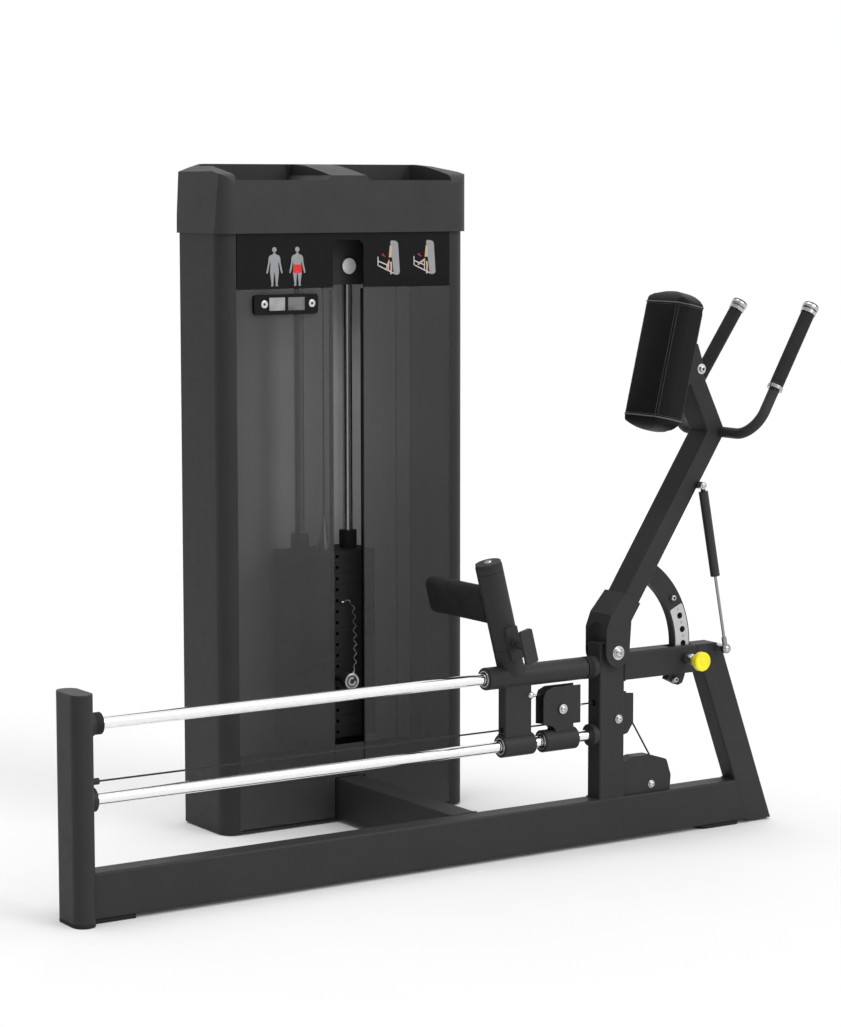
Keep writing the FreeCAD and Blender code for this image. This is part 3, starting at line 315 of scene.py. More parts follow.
def vinyl(name, color=(0.006, 0.006, 0.0063), rough=0.45):
    """Upholstery vinyl: pebbled leather grain over faint wrinkles."""
    s = Shader(name)
    cells = s.voronoi(420.0)
    s.color(s.ramp(cells, [(0.0, shade(color, 1.35)), (0.6, color)]))
    s.roughness(s.remap(s.noise(35.0), rough - 0.06, rough + 0.1))
    first = s.bump(s.noise(18.0, 3.0), 0.12, 0.004)
    s.normal(s.bump(cells, 0.3, 0.0006, first))
    s.set(Specular_IOR_Level=0.12)
    return s.material


def smoked(name):
    """Smoked acrylic sheet: mostly opaque grey that lets bright things behind it show faintly."""
    s = Shader(name)
    s.color(s.ramp(s.noise(3.0), [(0.3, (0.052, 0.052, 0.053)), (0.7, (0.057, 0.057, 0.058))]))
    s.roughness(s.remap(s.noise(25.0), 0.3, 0.38))
    s.set(Alpha=0.6, Specular_IOR_Level=0.3)
    return s.material


def display(name, level):
    """Grey liquid-crystal window with a soft cloud of light across it."""
    s = Shader(name)
    dark = shade((0.16, 0.165, 0.165), level)
    bright = shade((0.3, 0.31, 0.31), level)
    s.color(s.ramp(s.noise(22.0, 1.0), [(0.35, dark), (0.65, bright)]))
    s.set(Roughness=0.18)
    return s.material


def floor_material():
    s = Shader("floor")
    s.color(s.ramp(s.noise(2.0), [(0.3, (0.645, 0.645, 0.645)), (0.7, (0.65, 0.65, 0.65))]))
    s.set(Roughness=0.95, Specular_IOR_Level=0.1)
    s.bsdf.inputs["Emission Color"].default_value = (1.0, 1.0, 1.0, 1.0)
    s.bsdf.inputs["Emission Strength"].default_value = 0.02
    return s.material


CHARCOAL = (0.025, 0.025, 0.026)


def build_materials():
    """Every material by its name, from its kind and that kind's values."""
    recipes = {
        "frame_paint": (painted, CHARCOAL),
        "silver_steel": (metal, (0.62, 0.62, 0.63), 0.25, (40.0, 40.0, 40.0)),
        "zinc_plate": (plastic, (0.62, 0.62, 0.63), 0.3, 0.05, 0.6),
        "chrome": (metal, (0.93, 0.93, 0.94), 0.08),
        "handle_chrome": (metal, (0.5, 0.5, 0.51), 0.16, (60.0, 60.0, 1.0)),
        "slot_skirt": (painted, shade(CHARCOAL, 1.5)),
        "guide_chrome": (metal, (0.3, 0.3, 0.31), 0.16, (60.0, 60.0, 1.0)),
        "smoked_panel": (smoked,),
        "back_sheet": (painted, (0.9, 0.9, 0.91), 0.55),
        "black_gloss": (plastic, (0.005, 0.005, 0.0054), 0.3, 0.05, 0.12),
        "black_plastic": (plastic, (0.014, 0.014, 0.0145)),
        "cap_plastic": (plastic, (0.031, 0.031, 0.032), 0.5, 0.2, 0.2),
        "grey_plastic": (plastic, (0.3, 0.31, 0.32)),
        "yellow_plastic": (plastic, (0.8, 0.68, 0.01), 0.35, 0.08),
        "red_ink": (plastic, (0.6, 0.01, 0.01), 0.4, 0.05),
        "grey_ink": (plastic, (0.25, 0.26, 0.27), 0.4, 0.05),
        "pale_ink": (plastic, (0.5, 0.5, 0.52), 0.4, 0.05),
        "skin_ink": (plastic, (0.5, 0.33, 0.22), 0.4, 0.05),
        "display": (display, 1.0),
        "dark_display": (display, 0.45),
        "weld_paint": (painted, CHARCOAL, 0.5, 0.8),
        "rubber": (rubber,),
        "cast_iron": (painted, (0.014, 0.014, 0.015), 0.6, 0.5, 0.2),
        "vinyl": (vinyl,),
        "thread": (rubber, (0.1, 0.1, 0.1), 0.7),
        "foam_grip": (rubber, (0.01, 0.01, 0.01), 0.65),
        "cable": (rubber, (0.015, 0.015, 0.015), 0.45),
        "lanyard_cord": (plastic, (0.13, 0.13, 0.13), 0.15, 0.05, 0.9),
        "aluminium": (metal, (0.55, 0.55, 0.56), 0.32, (30.0, 30.0, 30.0), 0.15),
    }
    return {name: kind(name, *values) for name, (kind, *values) in recipes.items()}


# ---------------------------------------------------------------- geometry

SHARP_ANGLE = math.radians(38)
CIRCLE_SIDES = 28


def finish_mesh(name, mesh, material, body, smooth=True):
    """An object of the mesh with its material, on its body."""
    mesh.materials.clear()
    mesh.materials.append(MATERIALS[material])
    if smooth:
        mesh.shade_smooth()
        mesh.set_sharp_from_angle(angle=SHARP_ANGLE)
    item = put(name, mesh)
    if body:
        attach(item, body)
    return item


def frame_for(axis):
    """Two directions square to the axis and to each other."""
    axis = axis.normalized()
    helper = UP if abs(axis.dot(UP)) < 0.9 else ALONG
    u = axis.cross(helper).normalized()
    return u, axis.cross(u).normalized()


def lathe(name, origin, axis, profile, material, body, segments=48, ribs=None):
    """Turned piece: profile is (distance along the axis, radius) in millimetres, from end to end. ribs is
    (how many, how high, from which radius outwards)."""
    u, v = frame_for(axis)
    axis = axis.normalized()
    verts = []
    for along, radius in profile:
        for k in range(segments):
            angle = 2 * math.pi * k / segments
            r = radius
            if ribs and radius >= ribs[2]:
                r += ribs[1] * math.cos(ribs[0] * angle)
            verts.append(origin + axis * along * MM + (u * math.cos(angle) + v * math.sin(angle)) * r * MM)
    faces = []
    for ring in range(len(profile) - 1):
        for k in range(segments):
            a = ring * segments + k
            b = ring * segments + (k + 1) % segments
            faces.append((a, b, b + segments, a + segments))
    faces.append(tuple(reversed(range(segments))))
    last = (len(profile) - 1) * segments
    faces.append(tuple(range(last, last + segments)))
    return finish_mesh(name, closed_mesh(name, verts, faces), material, body)


def closed_mesh(name, verts, faces):
    """A mesh with doubled points merged and its faces all looking outwards."""
    mesh = bpy.data.meshes.new(name)
    mesh.from_pydata(verts, [], faces)
    bm = bmesh.new()
    bm.from_mesh(mesh)
    bmesh.ops.remove_doubles(bm, verts=bm.verts, dist=1e-7)
    bmesh.ops.recalc_face_normals(bm, faces=bm.faces)
    bm.to_mesh(mesh)
    bm.free()
    return mesh


def sweep_mesh(name, points, radius, sides=12, closed=False):
    """Round tube through points in the frame, metres; radius in millimetres."""
    count = len(points)
    tangents = []
    for i in range(count):
        if closed:
            step = points[(i + 1) % count] - points[i - 1]
        else:
            step = points[min(i + 1, count - 1)] - points[max(i - 1, 0)]
        tangents.append(step.normalized())
    u, _ = frame_for(tangents[0])
    verts = []
    for i in range(count):
        u = (u - tangents[i] * u.dot(tangents[i])).normalized()
        v = tangents[i].cross(u)
        for k in range(sides):
            angle = 2 * math.pi * k / sides
            verts.append(points[i] + (u * math.cos(angle) + v * math.sin(angle)) * radius * MM)
    faces = []
    rings = count if closed else count - 1
    for i in range(rings):
        j = (i + 1) % count
        for k in range(sides):
            n = (k + 1) % sides
            faces.append((i * sides + k, i * sides + n, j * sides + n, j * sides + k))
    if not closed:
        faces.append(tuple(reversed(range(sides))))
        faces.append(tuple(range((count - 1) * sides, count * sides)))
    return closed_mesh(name, verts, faces)


def joined_tubes(name, lines, sides):
    """One mesh of round tubes, each from its points in the frame and its radius."""
    whole = bmesh.new()
    for points, radius in lines:
        piece = sweep_mesh(name, points, radius, sides)
        whole.from_mesh(piece)
        bpy.data.meshes.remove(piece)
    mesh = bpy.data.meshes.new(name)
    whole.to_mesh(mesh)
    whole.free()
    return mesh


def resample(points, step):
    """Points every step metres along a polyline, ends kept."""
    lengths = [0.0]
    for a, b in zip(points, points[1:]):
        lengths.append(lengths[-1] + (b - a).length)
    count = max(2, round(lengths[-1] / step) + 1)
    result = []
    i = 0
    for k in range(count):
        target = lengths[-1] * k / (count - 1)
        while i < len(points) - 2 and lengths[i + 1] < target:
            i += 1
        share = (target - lengths[i]) / max(lengths[i + 1] - lengths[i], 1e-9)
        result.append(points[i].lerp(points[i + 1], min(share, 1.0)))
    return result


def rounded(corners, radius, steps=5):
    """Corners of a flat outline (pairs) rounded off."""
    result = []
    count = len(corners)
    for i, corner in enumerate(corners):
        p = Vector(corner)
        before = Vector(corners[i - 1]) - p
        after = Vector(corners[(i + 1) % count]) - p
        reach = min(radius, before.length * 0.45, after.length * 0.45)
        a = p + before.normalized() * reach
        b = p + after.normalized() * reach
        for k in range(steps + 1):
            t = k / steps
            result.append((a * (1 - t) + p * t) * (1 - t) + (p * (1 - t) + b * t) * t)
    return result


def evaluated_mesh(item):
    """The object's mesh with its modifiers applied."""
    bpy.context.view_layer.update()
    graph = bpy.context.evaluated_depsgraph_get()
    return bpy.data.meshes.new_from_object(item.evaluated_get(graph))


def curve_mesh(name, curve):
    """The mesh that a curve or text gives."""
    holder = put(name, curve)
    mesh = evaluated_mesh(holder)
    bpy.data.objects.remove(holder)
    mesh.name = name
    return mesh


def flat_piece(name, loops, place, thickness, material, body, bevel=0.0):
    """Flat plate from closed loops of 2-D points in millimetres; inner loops are holes. place is the matrix
    from the drawing's (x, y, 0) to the frame."""
    curve = bpy.data.curves.new(name, "CURVE")
    curve.dimensions = "2D"
    curve.fill_mode = "BOTH"
    curve.extrude = thickness / 2 - bevel
    curve.bevel_depth = bevel
    curve.bevel_resolution = 2
    for loop in loops:
        spline = curve.splines.new("POLY")
        spline.points.add(len(loop) - 1)
        spline.use_cyclic_u = True
        for point, (x, y) in zip(spline.points, loop):
            point.co = (x, y, 0.0, 1.0)
    mesh = curve_mesh(name, curve)
    mesh.transform(place)
    return finish_mesh(name, mesh, material, body)


def circle(cx, cy, radius):
    angles = [2 * math.pi * k / CIRCLE_SIDES for k in range(CIRCLE_SIDES)]
    return [(cx + radius * math.cos(angle), cy + radius * math.sin(angle)) for angle in angles]


def rectangle(x0, x1, z0, z1, radius):
    return rounded([(x0, z0), (x1, z0), (x1, z1), (x0, z1)], radius)


def facing_front(y):
    """Places a flat piece drawn in layout X and Z on a plane of constant Y, facing the front."""
    depth = (y - ORIGIN_Y) * MM
    return Matrix(((MM, 0, 0, -ORIGIN_X * MM), (0, 0, -MM, depth), (0, MM, 0, 0), (0, 0, 0, 1)))


def text_piece(name, text, size, x, z, y, material, body):
    """Digits standing on a plane of constant Y, centred on x and z."""
    curve = bpy.data.curves.new(name, "FONT")
    curve.body = text
    curve.size = size
    curve.extrude = 0.15
    curve.align_x = "CENTER"
    curve.align_y = "CENTER"
    mesh = curve_mesh(name, curve)
    mesh.transform(facing_front(y) @ Matrix.Translation((x, z, 0)))
    return finish_mesh(name, mesh, material, body, smooth=False)


def bolt(name, place, radius, body, axis, washer, height):
    """Button-head bolt with a socket, standing out along the axis, over a washer of that radius if any."""
    base = 0.0
    if washer:
        ring = [(0, washer), (1.4, washer), (1.8, washer - 0.5), (1.8, radius * 0.8), (0, radius * 0.8)]
        lathe(name + "_washer", place, axis, ring, "silver_steel", body, 32)
        base = 1.8
    side = base + height * 0.35
    top = base + height
    head = [(base, radius), (side, radius), (base + height * 0.75, radius * 0.88), (top, radius * 0.62)]
    head += [(top, radius * 0.42), (side, radius * 0.4), (side, 0.01)]
    lathe(name, place, axis, head, "silver_steel", body, 32)


# ---------------------------------------------------------------- the CAD frame's finishes

CAD_FINISHES = {
    "guide_rods": "guide_chrome",
    "gas_spring_rod": "guide_chrome",
    "tower_cap": "cap_plastic",
    "post_cap": "cap_plastic",
    "counter_housing": "black_gloss",
}


def dress_cad():
    """Every CAD node gets its slot's material, or the one listed for it."""
    for name, node in NODES.items():
        node.data.materials.clear()
        node.data.materials.append(MATERIALS[CAD_FINISHES.get(name, SLOTS[name])])


# ---------------------------------------------------------------- upholstery

CLOTH_FRAMES = 20
CLOTH_SETTINGS = {
    "quality": 4,
    "mass": 0.4,
    "tension_stiffness": 25.0,
    "compression_stiffness": 25.0,
    "bending_stiffness": 2.0,
    "use_pressure": True,
    "uniform_pressure_force": 4.0,
    "vertex_group_mass": "pins",
}


def soft_copy(node, name, material, body, voxel, cap, held):
    """A stuffed copy of a CAD pad: remeshed in voxels of that size and blown up by cloth pressure. No point
    moves further than cap, and held says how firmly a point is kept in place, from 0 to 1."""
    scene = bpy.context.scene
    item = put(name, NODES[node].data.copy())
    remesh = item.modifiers.new("remesh", "REMESH")
    remesh.mode = "VOXEL"
    remesh.voxel_size = voxel
    smooth = item.modifiers.new("smooth", "SMOOTH")
    smooth.iterations = 3
    base = evaluated_mesh(item)
    item.modifiers.clear()
    item.data = base
    start = [v.co.copy() for v in base.vertices]
    pins = item.vertex_groups.new(name="pins")
    for index, point in enumerate(start):
        weight = held(point)
        if weight > 0:
            pins.add([index], weight, "REPLACE")
    cloth = item.modifiers.new("cloth", "CLOTH")
    for setting, value in CLOTH_SETTINGS.items():
        setattr(cloth.settings, setting, value)
    cloth.settings.effector_weights.gravity = 0.0
    cloth.point_cache.frame_start = 1
    cloth.point_cache.frame_end = CLOTH_FRAMES
    for step in range(1, CLOTH_FRAMES + 1):
        scene.frame_set(step)
    blown = evaluated_mesh(item)
    item.modifiers.clear()
    for vertex, before, after in zip(base.vertices, start, blown.vertices):
        shift = after.co - before
        if shift.length > cap:
            shift *= cap / shift.length
        vertex.co = before + shift
    scene.frame_set(1)
    item.vertex_groups.clear()
    finer = item.modifiers.new("finer", "SUBSURF")
    finer.levels = 1
    finer.render_levels = 1
    dense = evaluated_mesh(item)
    item.modifiers.clear()
    item.data = dense
    dense.materials.clear()
    dense.materials.append(MATERIALS[material])
    dense.shade_smooth()
    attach(item, body)
    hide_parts(node)
    return item


PAD_LEAN = math.radians(13.41)
PAD_X = 1540.9
PAD_Z = 1202.0
PAD_THICKNESS = 70.0
PAD_BEVEL = 27.0
PAD_HALF_WIDTH = 82.0
PAD_FACE_HALF_WIDTH = 62.0
PAD_SEAM_UP = 143.0          # from the middle to the piping at each end
PAD_HALF_PLAN = [(PAD_THICKNESS, PAD_HALF_WIDTH), (PAD_BEVEL, PAD_HALF_WIDTH), (0.0, PAD_FACE_HALF_WIDTH)]
PAD_PLAN = PAD_HALF_PLAN + [(depth, -side) for depth, side in reversed(PAD_HALF_PLAN)]


def pad_at(up, depth, side):
    """A point of the chest pad: up its length, depth behind its face and to one side."""
    x = PAD_X + up * math.sin(PAD_LEAN) + depth * math.cos(PAD_LEAN)
    z = PAD_Z + up * math.cos(PAD_LEAN) - depth * math.sin(PAD_LEAN)
    return at(x, MID_Y + side, z)


def pad_local(point):
    """(up, depth, side) in millimetres of a point in the frame."""
    x = point.x / MM + ORIGIN_X - PAD_X
    z = point.z / MM - PAD_Z
    up = x * math.sin(PAD_LEAN) + z * math.cos(PAD_LEAN)
    depth = x * math.cos(PAD_LEAN) - z * math.sin(PAD_LEAN)
    return up, depth, point.y / MM + ORIGIN_Y - MID_Y


STITCH_LENGTH = 3.2
STITCH_GAP = 1.6
STITCH_RADIUS = 0.45


def stitches(name, points, body):
    """A row of short thread stitches along a line."""
    line = resample(points, (STITCH_LENGTH + STITCH_GAP) * MM)
    share = STITCH_LENGTH / (STITCH_LENGTH + STITCH_GAP)
    rows = [[a, a.lerp(b, share * 0.5), a.lerp(b, share)] for a, b in zip(line, line[1:])]
    mesh = joined_tubes(name, [(row, STITCH_RADIUS) for row in rows], 6)
    finish_mesh(name, mesh, "thread", body)


def chest_pad_held(point):
    """The pad's back and the piping at its ends stay in place, its two front seams nearly so."""
    up, depth, side = pad_local(point)
    if depth > PAD_THICKNESS - 8:
        return 1.0
    if abs(abs(up) - PAD_SEAM_UP) < 3.5 and depth > -3:
        return 1.0
    if abs(abs(side) - PAD_FACE_HALF_WIDTH) < 4 and depth < 5 and abs(up) < PAD_SEAM_UP:
        return 0.8
    return 0.0


def pad_ring(surface, up, inner_up, lift):
    """A line round the pad's front and sides at one height, on its skin."""
    inner = pad_at(inner_up, 40, 0)
    ring = [pad_at(up, depth, side) for depth, side in PAD_PLAN]
    return [surface(p, inner, lift) for p in resample(ring, 0.004)]


def add_chest_pad():
    pad = soft_copy("chest_pad", "chest_pad_cover", "vinyl", "chest_arm", 0.005, 0.007, chest_pad_held)
    surface = surface_finder(pad)
    for end in (-PAD_SEAM_UP, PAD_SEAM_UP):
        mesh = sweep_mesh("pad_piping", pad_ring(surface, end, end, 0.6), 1.7, 10)
        finish_mesh("pad_piping", mesh, "thread", "chest_arm")
        inside = end - math.copysign(5.0, end)
        stitches("pad_end_stitches", pad_ring(surface, inside, end, 0.3), "chest_arm")
    inwards = pad_at(0, 60, 0) - pad_at(0, 0, 0)
    for edge in (-PAD_FACE_HALF_WIDTH, PAD_FACE_HALF_WIDTH):
        for shift in (-3.0, 3.0):
            ends = [pad_at(up, 0, edge + shift) for up in (-PAD_SEAM_UP + 6, PAD_SEAM_UP - 6)]
            line = [surface(p, p + inwards, 0.3) for p in resample(ends, 0.005)]
            stitches("pad_side_stitches", line, "chest_arm")


def surface_finder(item):
    """A function that moves a point onto the item's skin, looking from outside towards an inner point."""
    bm = bmesh.new()
    bm.from_mesh(item.data)
    tree = BVHTree.FromBMesh(bm)
    bm.free()

    def find(point, inner, lift):
        ray = (inner - point).normalized()
        hit, normal, _, _ = tree.ray_cast(point - ray * 0.03, ray, 0.12)
        if hit is None:
            hit, normal, _, _ = tree.find_nearest(point)
        return hit + normal * lift * MM
    return find


MAST_LEAN = math.radians(14.47)
MAST_X = 1127.0
MAST_TOP = 284.0
MAST_JOINT = 74.2
FOOT_PAD_LOW = 132.0         # along the mast
FOOT_PAD_HIGH = 225.0
FOOT_PAD_HALF = 22.0
FOOT_PAD_ROOT = 67.0         # Y up to which the mast holds the pad
SEAM_Y = 286.0


def mast_at(s, out=0.0, y=MID_Y):
    """A point by the foot mast: s along its axis from the rail, out across it."""
    x = MAST_X - s * math.sin(MAST_LEAN) + out * math.cos(MAST_LEAN)
    z = UPPER_RAIL_Z + s * math.cos(MAST_LEAN) + out * math.sin(MAST_LEAN)
    return at(x, y, z)


def foot_pad_held(point):
    """The pad's end at the mast and its seam stay in place."""
    y = point.y / MM + ORIGIN_Y
    return 1.0 if y < FOOT_PAD_ROOT or abs(y - SEAM_Y) < 4 else 0.0


def add_foot_pad():
    pad = soft_copy("foot_pad", "foot_pad_cover", "rubber", "foot_mast", 0.004, 0.005, foot_pad_held)
    surface = surface_finder(pad)
    outline = rectangle(FOOT_PAD_LOW, FOOT_PAD_HIGH, -FOOT_PAD_HALF, FOOT_PAD_HALF, 20)
    ring = [mast_at(s, out, SEAM_Y) for s, out in outline]
    middle = mast_at((FOOT_PAD_LOW + FOOT_PAD_HIGH) / 2, 0, SEAM_Y)
    line = [surface(p, middle, 0.2) for p in resample(ring + ring[:1], 0.004)[:-1]]
    mesh = sweep_mesh("foot_pad_seam", line, 0.9, 8, closed=True)
    finish_mesh("foot_pad_seam", mesh, "rubber", "foot_mast")


# ---------------------------------------------------------------- cables and the lanyard

POST_STRAND_X = 9.0
ANCHOR_X = 1181.0
FEED_X = 1319.0


def add_cable(name, start, end, node):
    """A jacketed cable drawn straight from start to end, in place of the CAD strand; in the machine it
    shortens or lengthens between two bodies.
    """
    mesh = sweep_mesh(name, resample([start, end], 0.02), CABLE_RADIUS, 12)
    item = finish_mesh(name, mesh, "cable", None)
    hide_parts(node)
    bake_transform(item)


def pulley_wrap():
    """The cable's line round the moving pulley, from its underside by its +X side to its top."""
    steps = 20
    points = []
    for k in range(steps + 1):
        angle = math.radians(-90 + 180 * k / steps)
        x = CARRIAGE_PULLEY[0] + CARRIAGE_PITCH * math.cos(angle)
        points.append(at(x, MID_Y, CARRIAGE_PULLEY[1] + CARRIAGE_PITCH * math.sin(angle)))
    return points


def add_cables():
    pulley_x = CARRIAGE_PULLEY[0]
    post = at(POST_STRAND_X, MID_Y, FIXED_STRAND_Z)
    pulley_low = at(pulley_x, MID_Y, FIXED_STRAND_Z)
    pulley_high = at(pulley_x, MID_Y, ANCHOR_STRAND_Z)
    upright = at(UPRIGHT_PULLEY[0], MID_Y, FEED_STRAND_Z)
    feed = at(FEED_X, MID_Y, FEED_STRAND_Z)
    anchor = at(ANCHOR_X, MID_Y, ANCHOR_STRAND_Z)
    top = at(STACK_X, STACK_Y, TOP_PULLEY_Z)
    stem = at(STACK_X, STACK_Y, STEM_TOP)
    add_cable("post_cable", post, pulley_low, "cable_post_strand")
    add_cable("feed_cable", upright, feed, "cable_feed_strand")
    add_cable("stack_cable", top, stem, "cable_stack_strand")
    add_cable("anchor_cable", pulley_high, anchor, "cable_anchor_strand")
    wrap = sweep_mesh("carriage_wrap", pulley_wrap(), CABLE_RADIUS, 12)
    finish_mesh("carriage_wrap", wrap, "cable", "pulley_carriage")
    ferrules = (
        (anchor, ALONG, 16, "foot_carriage"),
        (feed, ALONG, 14, "pulley_carriage"),
        (stem, UP, 22, "weight_stack"),
    )
    for place, axis, length, body in ferrules:
        profile = [(0, 5.0), (length * 0.5, 5.0), (length * 0.55, 4.0), (length, 3.6), (length, 2.4)]
        lathe("ferrule", place, axis, profile, "silver_steel", body, 24)


LANYARD_ROUTE = (
    (1014.0, 634.5, 561.0),
    (1036.0, 634.5, 567.0),
    (1047.0, 631.0, 545.0),
    (1044.0, 621.0, 505.0),
    (1037.0, 608.0, 462.0),
    (1030.0, 596.0, 422.0),
    (1024.0, 588.0, 398.0),
    (1017.0, 586.0, 384.5),
)
LANYARD_DIAMETER = 2.2
LANYARD_TURNS = 9.0
LANYARD_COIL = 4.0           # radius of the turns, to the cord's middle


def lanyard_helix():
    """The cord's turns round its route, wide in the middle and closing in at both ends."""
    spine = resample(route_line([at(*p) for p in LANYARD_ROUTE]), 0.001)
    total = sum((b - a).length for a, b in zip(spine, spine[1:]))
    points = []
    u, _ = frame_for(spine[1] - spine[0])
    travelled = 0.0
    for i, point in enumerate(spine):
        tangent = (spine[min(i + 1, len(spine) - 1)] - spine[max(i - 1, 0)]).normalized()
        u = (u - tangent * u.dot(tangent)).normalized()
        v = tangent.cross(u)
        if i:
            travelled += (point - spine[i - 1]).length
        share = travelled / total
        swell = math.sin(math.pi * share) ** 0.35 if 0 < share < 1 else 0.0
        angle = 2 * math.pi * LANYARD_TURNS * share
        points.append(point + (u * math.cos(angle) + v * math.sin(angle)) * LANYARD_COIL * MM * swell)
    return resample(points, 0.0014)


def add_lanyard():
    """A thin curly cord from the weight plates down to the selector pin."""
    points = lanyard_helix()
    mesh = sweep_mesh("lanyard", points, LANYARD_DIAMETER / 2, 10)
    item = finish_mesh("lanyard", mesh, "lanyard_cord", None)
    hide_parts("pin_lanyard")
    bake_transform(item)
    clip = [(0, 3.2), (5, 3.2), (6, 2.2)]
    ends = ((LANYARD_ROUTE[0], ALONG, "weight_stack"), (LANYARD_ROUTE[-1], -UP, "selector_pin"))
    for place, axis, body in ends:
        lathe("lanyard_clip", at(*place) - axis * 0.002, axis, clip, "silver_steel", body, 20)


def route_line(route):
    """Points along the smooth NURBS line that has the route's points as its control points."""
    curve = bpy.data.curves.new("route", "CURVE")
    curve.dimensions = "3D"
    curve.resolution_u = 24
    spline = curve.splines.new("NURBS")
    spline.points.add(len(route) - 1)
    for point, place in zip(spline.points, route):
        point.co = (*place, 1.0)
    spline.order_u = 3
    spline.use_endpoint_u = True
    mesh = curve_mesh("route", curve)
    line = [vertex.co.copy() for vertex in mesh.vertices]
    bpy.data.meshes.remove(mesh)
    return line


# ---------------------------------------------------------------- handles

HANDLE_ROOT = (1739.0, 1012.0)
HANDLE_DIRECTION = (0.5345, 0.8452)
HANDLE_CORNER = 162.0        # half spacing where the grip lines meet the cross run
HANDLE_TAPER = 0.0616        # inward run of each grip line per unit of height along it
GRIP_START = 141.0
GRIP_END = 347.0
GRIP_RADIUS = 17.5
GRIP_BORE = 13.6
GROOVE_RADIUS = 17.15
RIB_PITCH = 6.1
RIBS = 33
COLLAR_LOW = [(130.6, 13.7), (130.6, 18.6), (131.8, 19.9), (134.6, 19.9), (135.2, 19.3), (135.8, 19.9),
              (139.2, 19.9), (140.4, 18.9), (140.4, 13.7)]
COLLAR_HIGH = [(347.6, 13.7), (347.6, 18.9), (348.8, 19.9), (356.8, 19.9), (358.4, 18.2), (358.4, 13.7)]
GRIP_CAP = [(358.4, 14.5), (360.4, 14.5), (360.7, 19.6), (361.8, 20.5), (369.5, 20.5), (373.5, 18.6),
            (375.6, 13.5), (376.4, 0.01)]


def handle_at(along, side):
    spread = HANDLE_CORNER - HANDLE_TAPER * along
    x = HANDLE_ROOT[0] + HANDLE_DIRECTION[0] * along
    return at(x, MID_Y + side * spread, HANDLE_ROOT[1] + HANDLE_DIRECTION[1] * along)


def ribbed_grip():
    """Half section of a foam grip with shallow grooves across it."""
    profile = [(GRIP_START, GRIP_BORE), (GRIP_START, 16.6), (GRIP_START + 1.5, GRIP_RADIUS)]
    for k in range(RIBS):
        start = GRIP_START + 2.5 + RIB_PITCH * k
        profile += [(start, GRIP_RADIUS), (start + 4.5, GRIP_RADIUS)]
        profile += [(start + 5.0, GROOVE_RADIUS), (start + 5.6, GROOVE_RADIUS)]
    return profile + [(GRIP_END - 1.5, GRIP_RADIUS), (GRIP_END, 16.6), (GRIP_END, GRIP_BORE)]


def add_handles():
    for side in (-1, 1):
        origin = handle_at(0, side)
        axis = (handle_at(100, side) - origin).normalized()
        stretch = (handle_at(100, side) - origin).length / (100 * MM)

        def scaled(profile):
            return [(along * stretch, radius) for along, radius in profile]

        for name, profile in (("grip_collar", COLLAR_LOW), ("grip_ring", COLLAR_HIGH)):
            lathe(name, origin, axis, scaled(profile), "handle_chrome", "chest_arm", 48)
        lathe("grip_cap", origin, axis, scaled(GRIP_CAP), "handle_chrome", "chest_arm", 120, (30, 0.25, 20.0))
        grip = lathe("grip_sleeve", origin, axis, scaled(ribbed_grip()), "foam_grip", "chest_arm", 40)
        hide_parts("hand_grips")


# ---------------------------------------------------------------- fasteners and fittings

BACK_SCREW_COLUMNS = (662.0, 1342.0)
BACK_SCREW_ROWS = (60.0, 340.0, 620.0, 900.0, 1180.0, 1460.0)
BEARINGS = (
    (1044.0, UPPER_RAIL_Z, -1, "foot_carriage"),
    (1337.0, UPPER_RAIL_Z, 1, "foot_carriage"),
    (1091.0, LOWER_RAIL_Z, -1, "foot_carriage"),
    (1181.0, LOWER_RAIL_Z, 1, "foot_carriage"),
    (1213.0, LOWER_RAIL_Z, -1, "pulley_carriage"),
    (1310.0, LOWER_RAIL_Z, 1, "pulley_carriage"),
)


def add_bolts():
    """Each bolt is its name, (X, Z), Y, radius, body, washer radius and height."""
    pad_bolt = (1666.0, 1173.0)
    stop_upper = (1606.2, 599.8)
    stop_lower = (1615.0, 392.0)
    fronts = (
        ("pivot", PIVOT, ARM_FRONT, 11.5, "chest_arm", 17.5, 9.5),
        ("upright_axle", UPRIGHT_PULLEY, TUBE_FRONT, 8.4, "frame", 11.0, 5.5),
        ("base_axle", BASE_PULLEY, 12.0, 8.0, "frame", 10.0, 5.0),
        ("carriage_axle", CARRIAGE_PULLEY, 9.0, 8.0, "pulley_carriage", 12.0, 4.5),
        ("pad_bolt", pad_bolt, ARM_FRONT, 8.5, "chest_arm", 13.0, 6.5),
        ("stop_upper", stop_upper, 17.0, 8.6, "chest_arm", 0.0, 9.0),
        ("stop_lower", stop_lower, 17.0, 8.6, "chest_arm", 0.0, 9.0),
        ("spring_foot", STUD_LOWER, SPRING_FRONT, 6.8, "frame", 0.0, 4.0),
        ("spring_head", STUD_UPPER, SPRING_FRONT, 6.5, "gas_spring_cylinder", 0.0, 4.0),
    )
    backs = (
        ("pivot_back", PIVOT, ARM_BACK, 11.5, "chest_arm", 17.5, 9.5),
        ("upright_axle_back", UPRIGHT_PULLEY, TUBE_BACK, 8.4, "frame", 11.0, 5.5),
        ("base_axle_back", BASE_PULLEY, 46.0, 8.0, "frame", 10.0, 5.0),
        ("carriage_axle_back", CARRIAGE_PULLEY, 49.0, 8.0, "pulley_carriage", 0.0, 3.5),
        ("pad_bolt_back", pad_bolt, ARM_BACK, 8.5, "chest_arm", 13.0, 6.5),
        ("stop_upper_back", stop_upper, 41.0, 8.6, "chest_arm", 0.0, 9.0),
    )
    for axis, bolts in ((-ACROSS, fronts), (ACROSS, backs)):
        for name, (x, z), y, radius, body, washer, height in bolts:
            bolt(name, at(x, y, z), radius, body, axis, washer, height)
    for x in BACK_SCREW_COLUMNS:
        for z in BACK_SCREW_ROWS:
            bolt("back_screw", at(x, TOWER_BACK, z), 5.0, "frame", ACROSS, 7.0, 2.2)


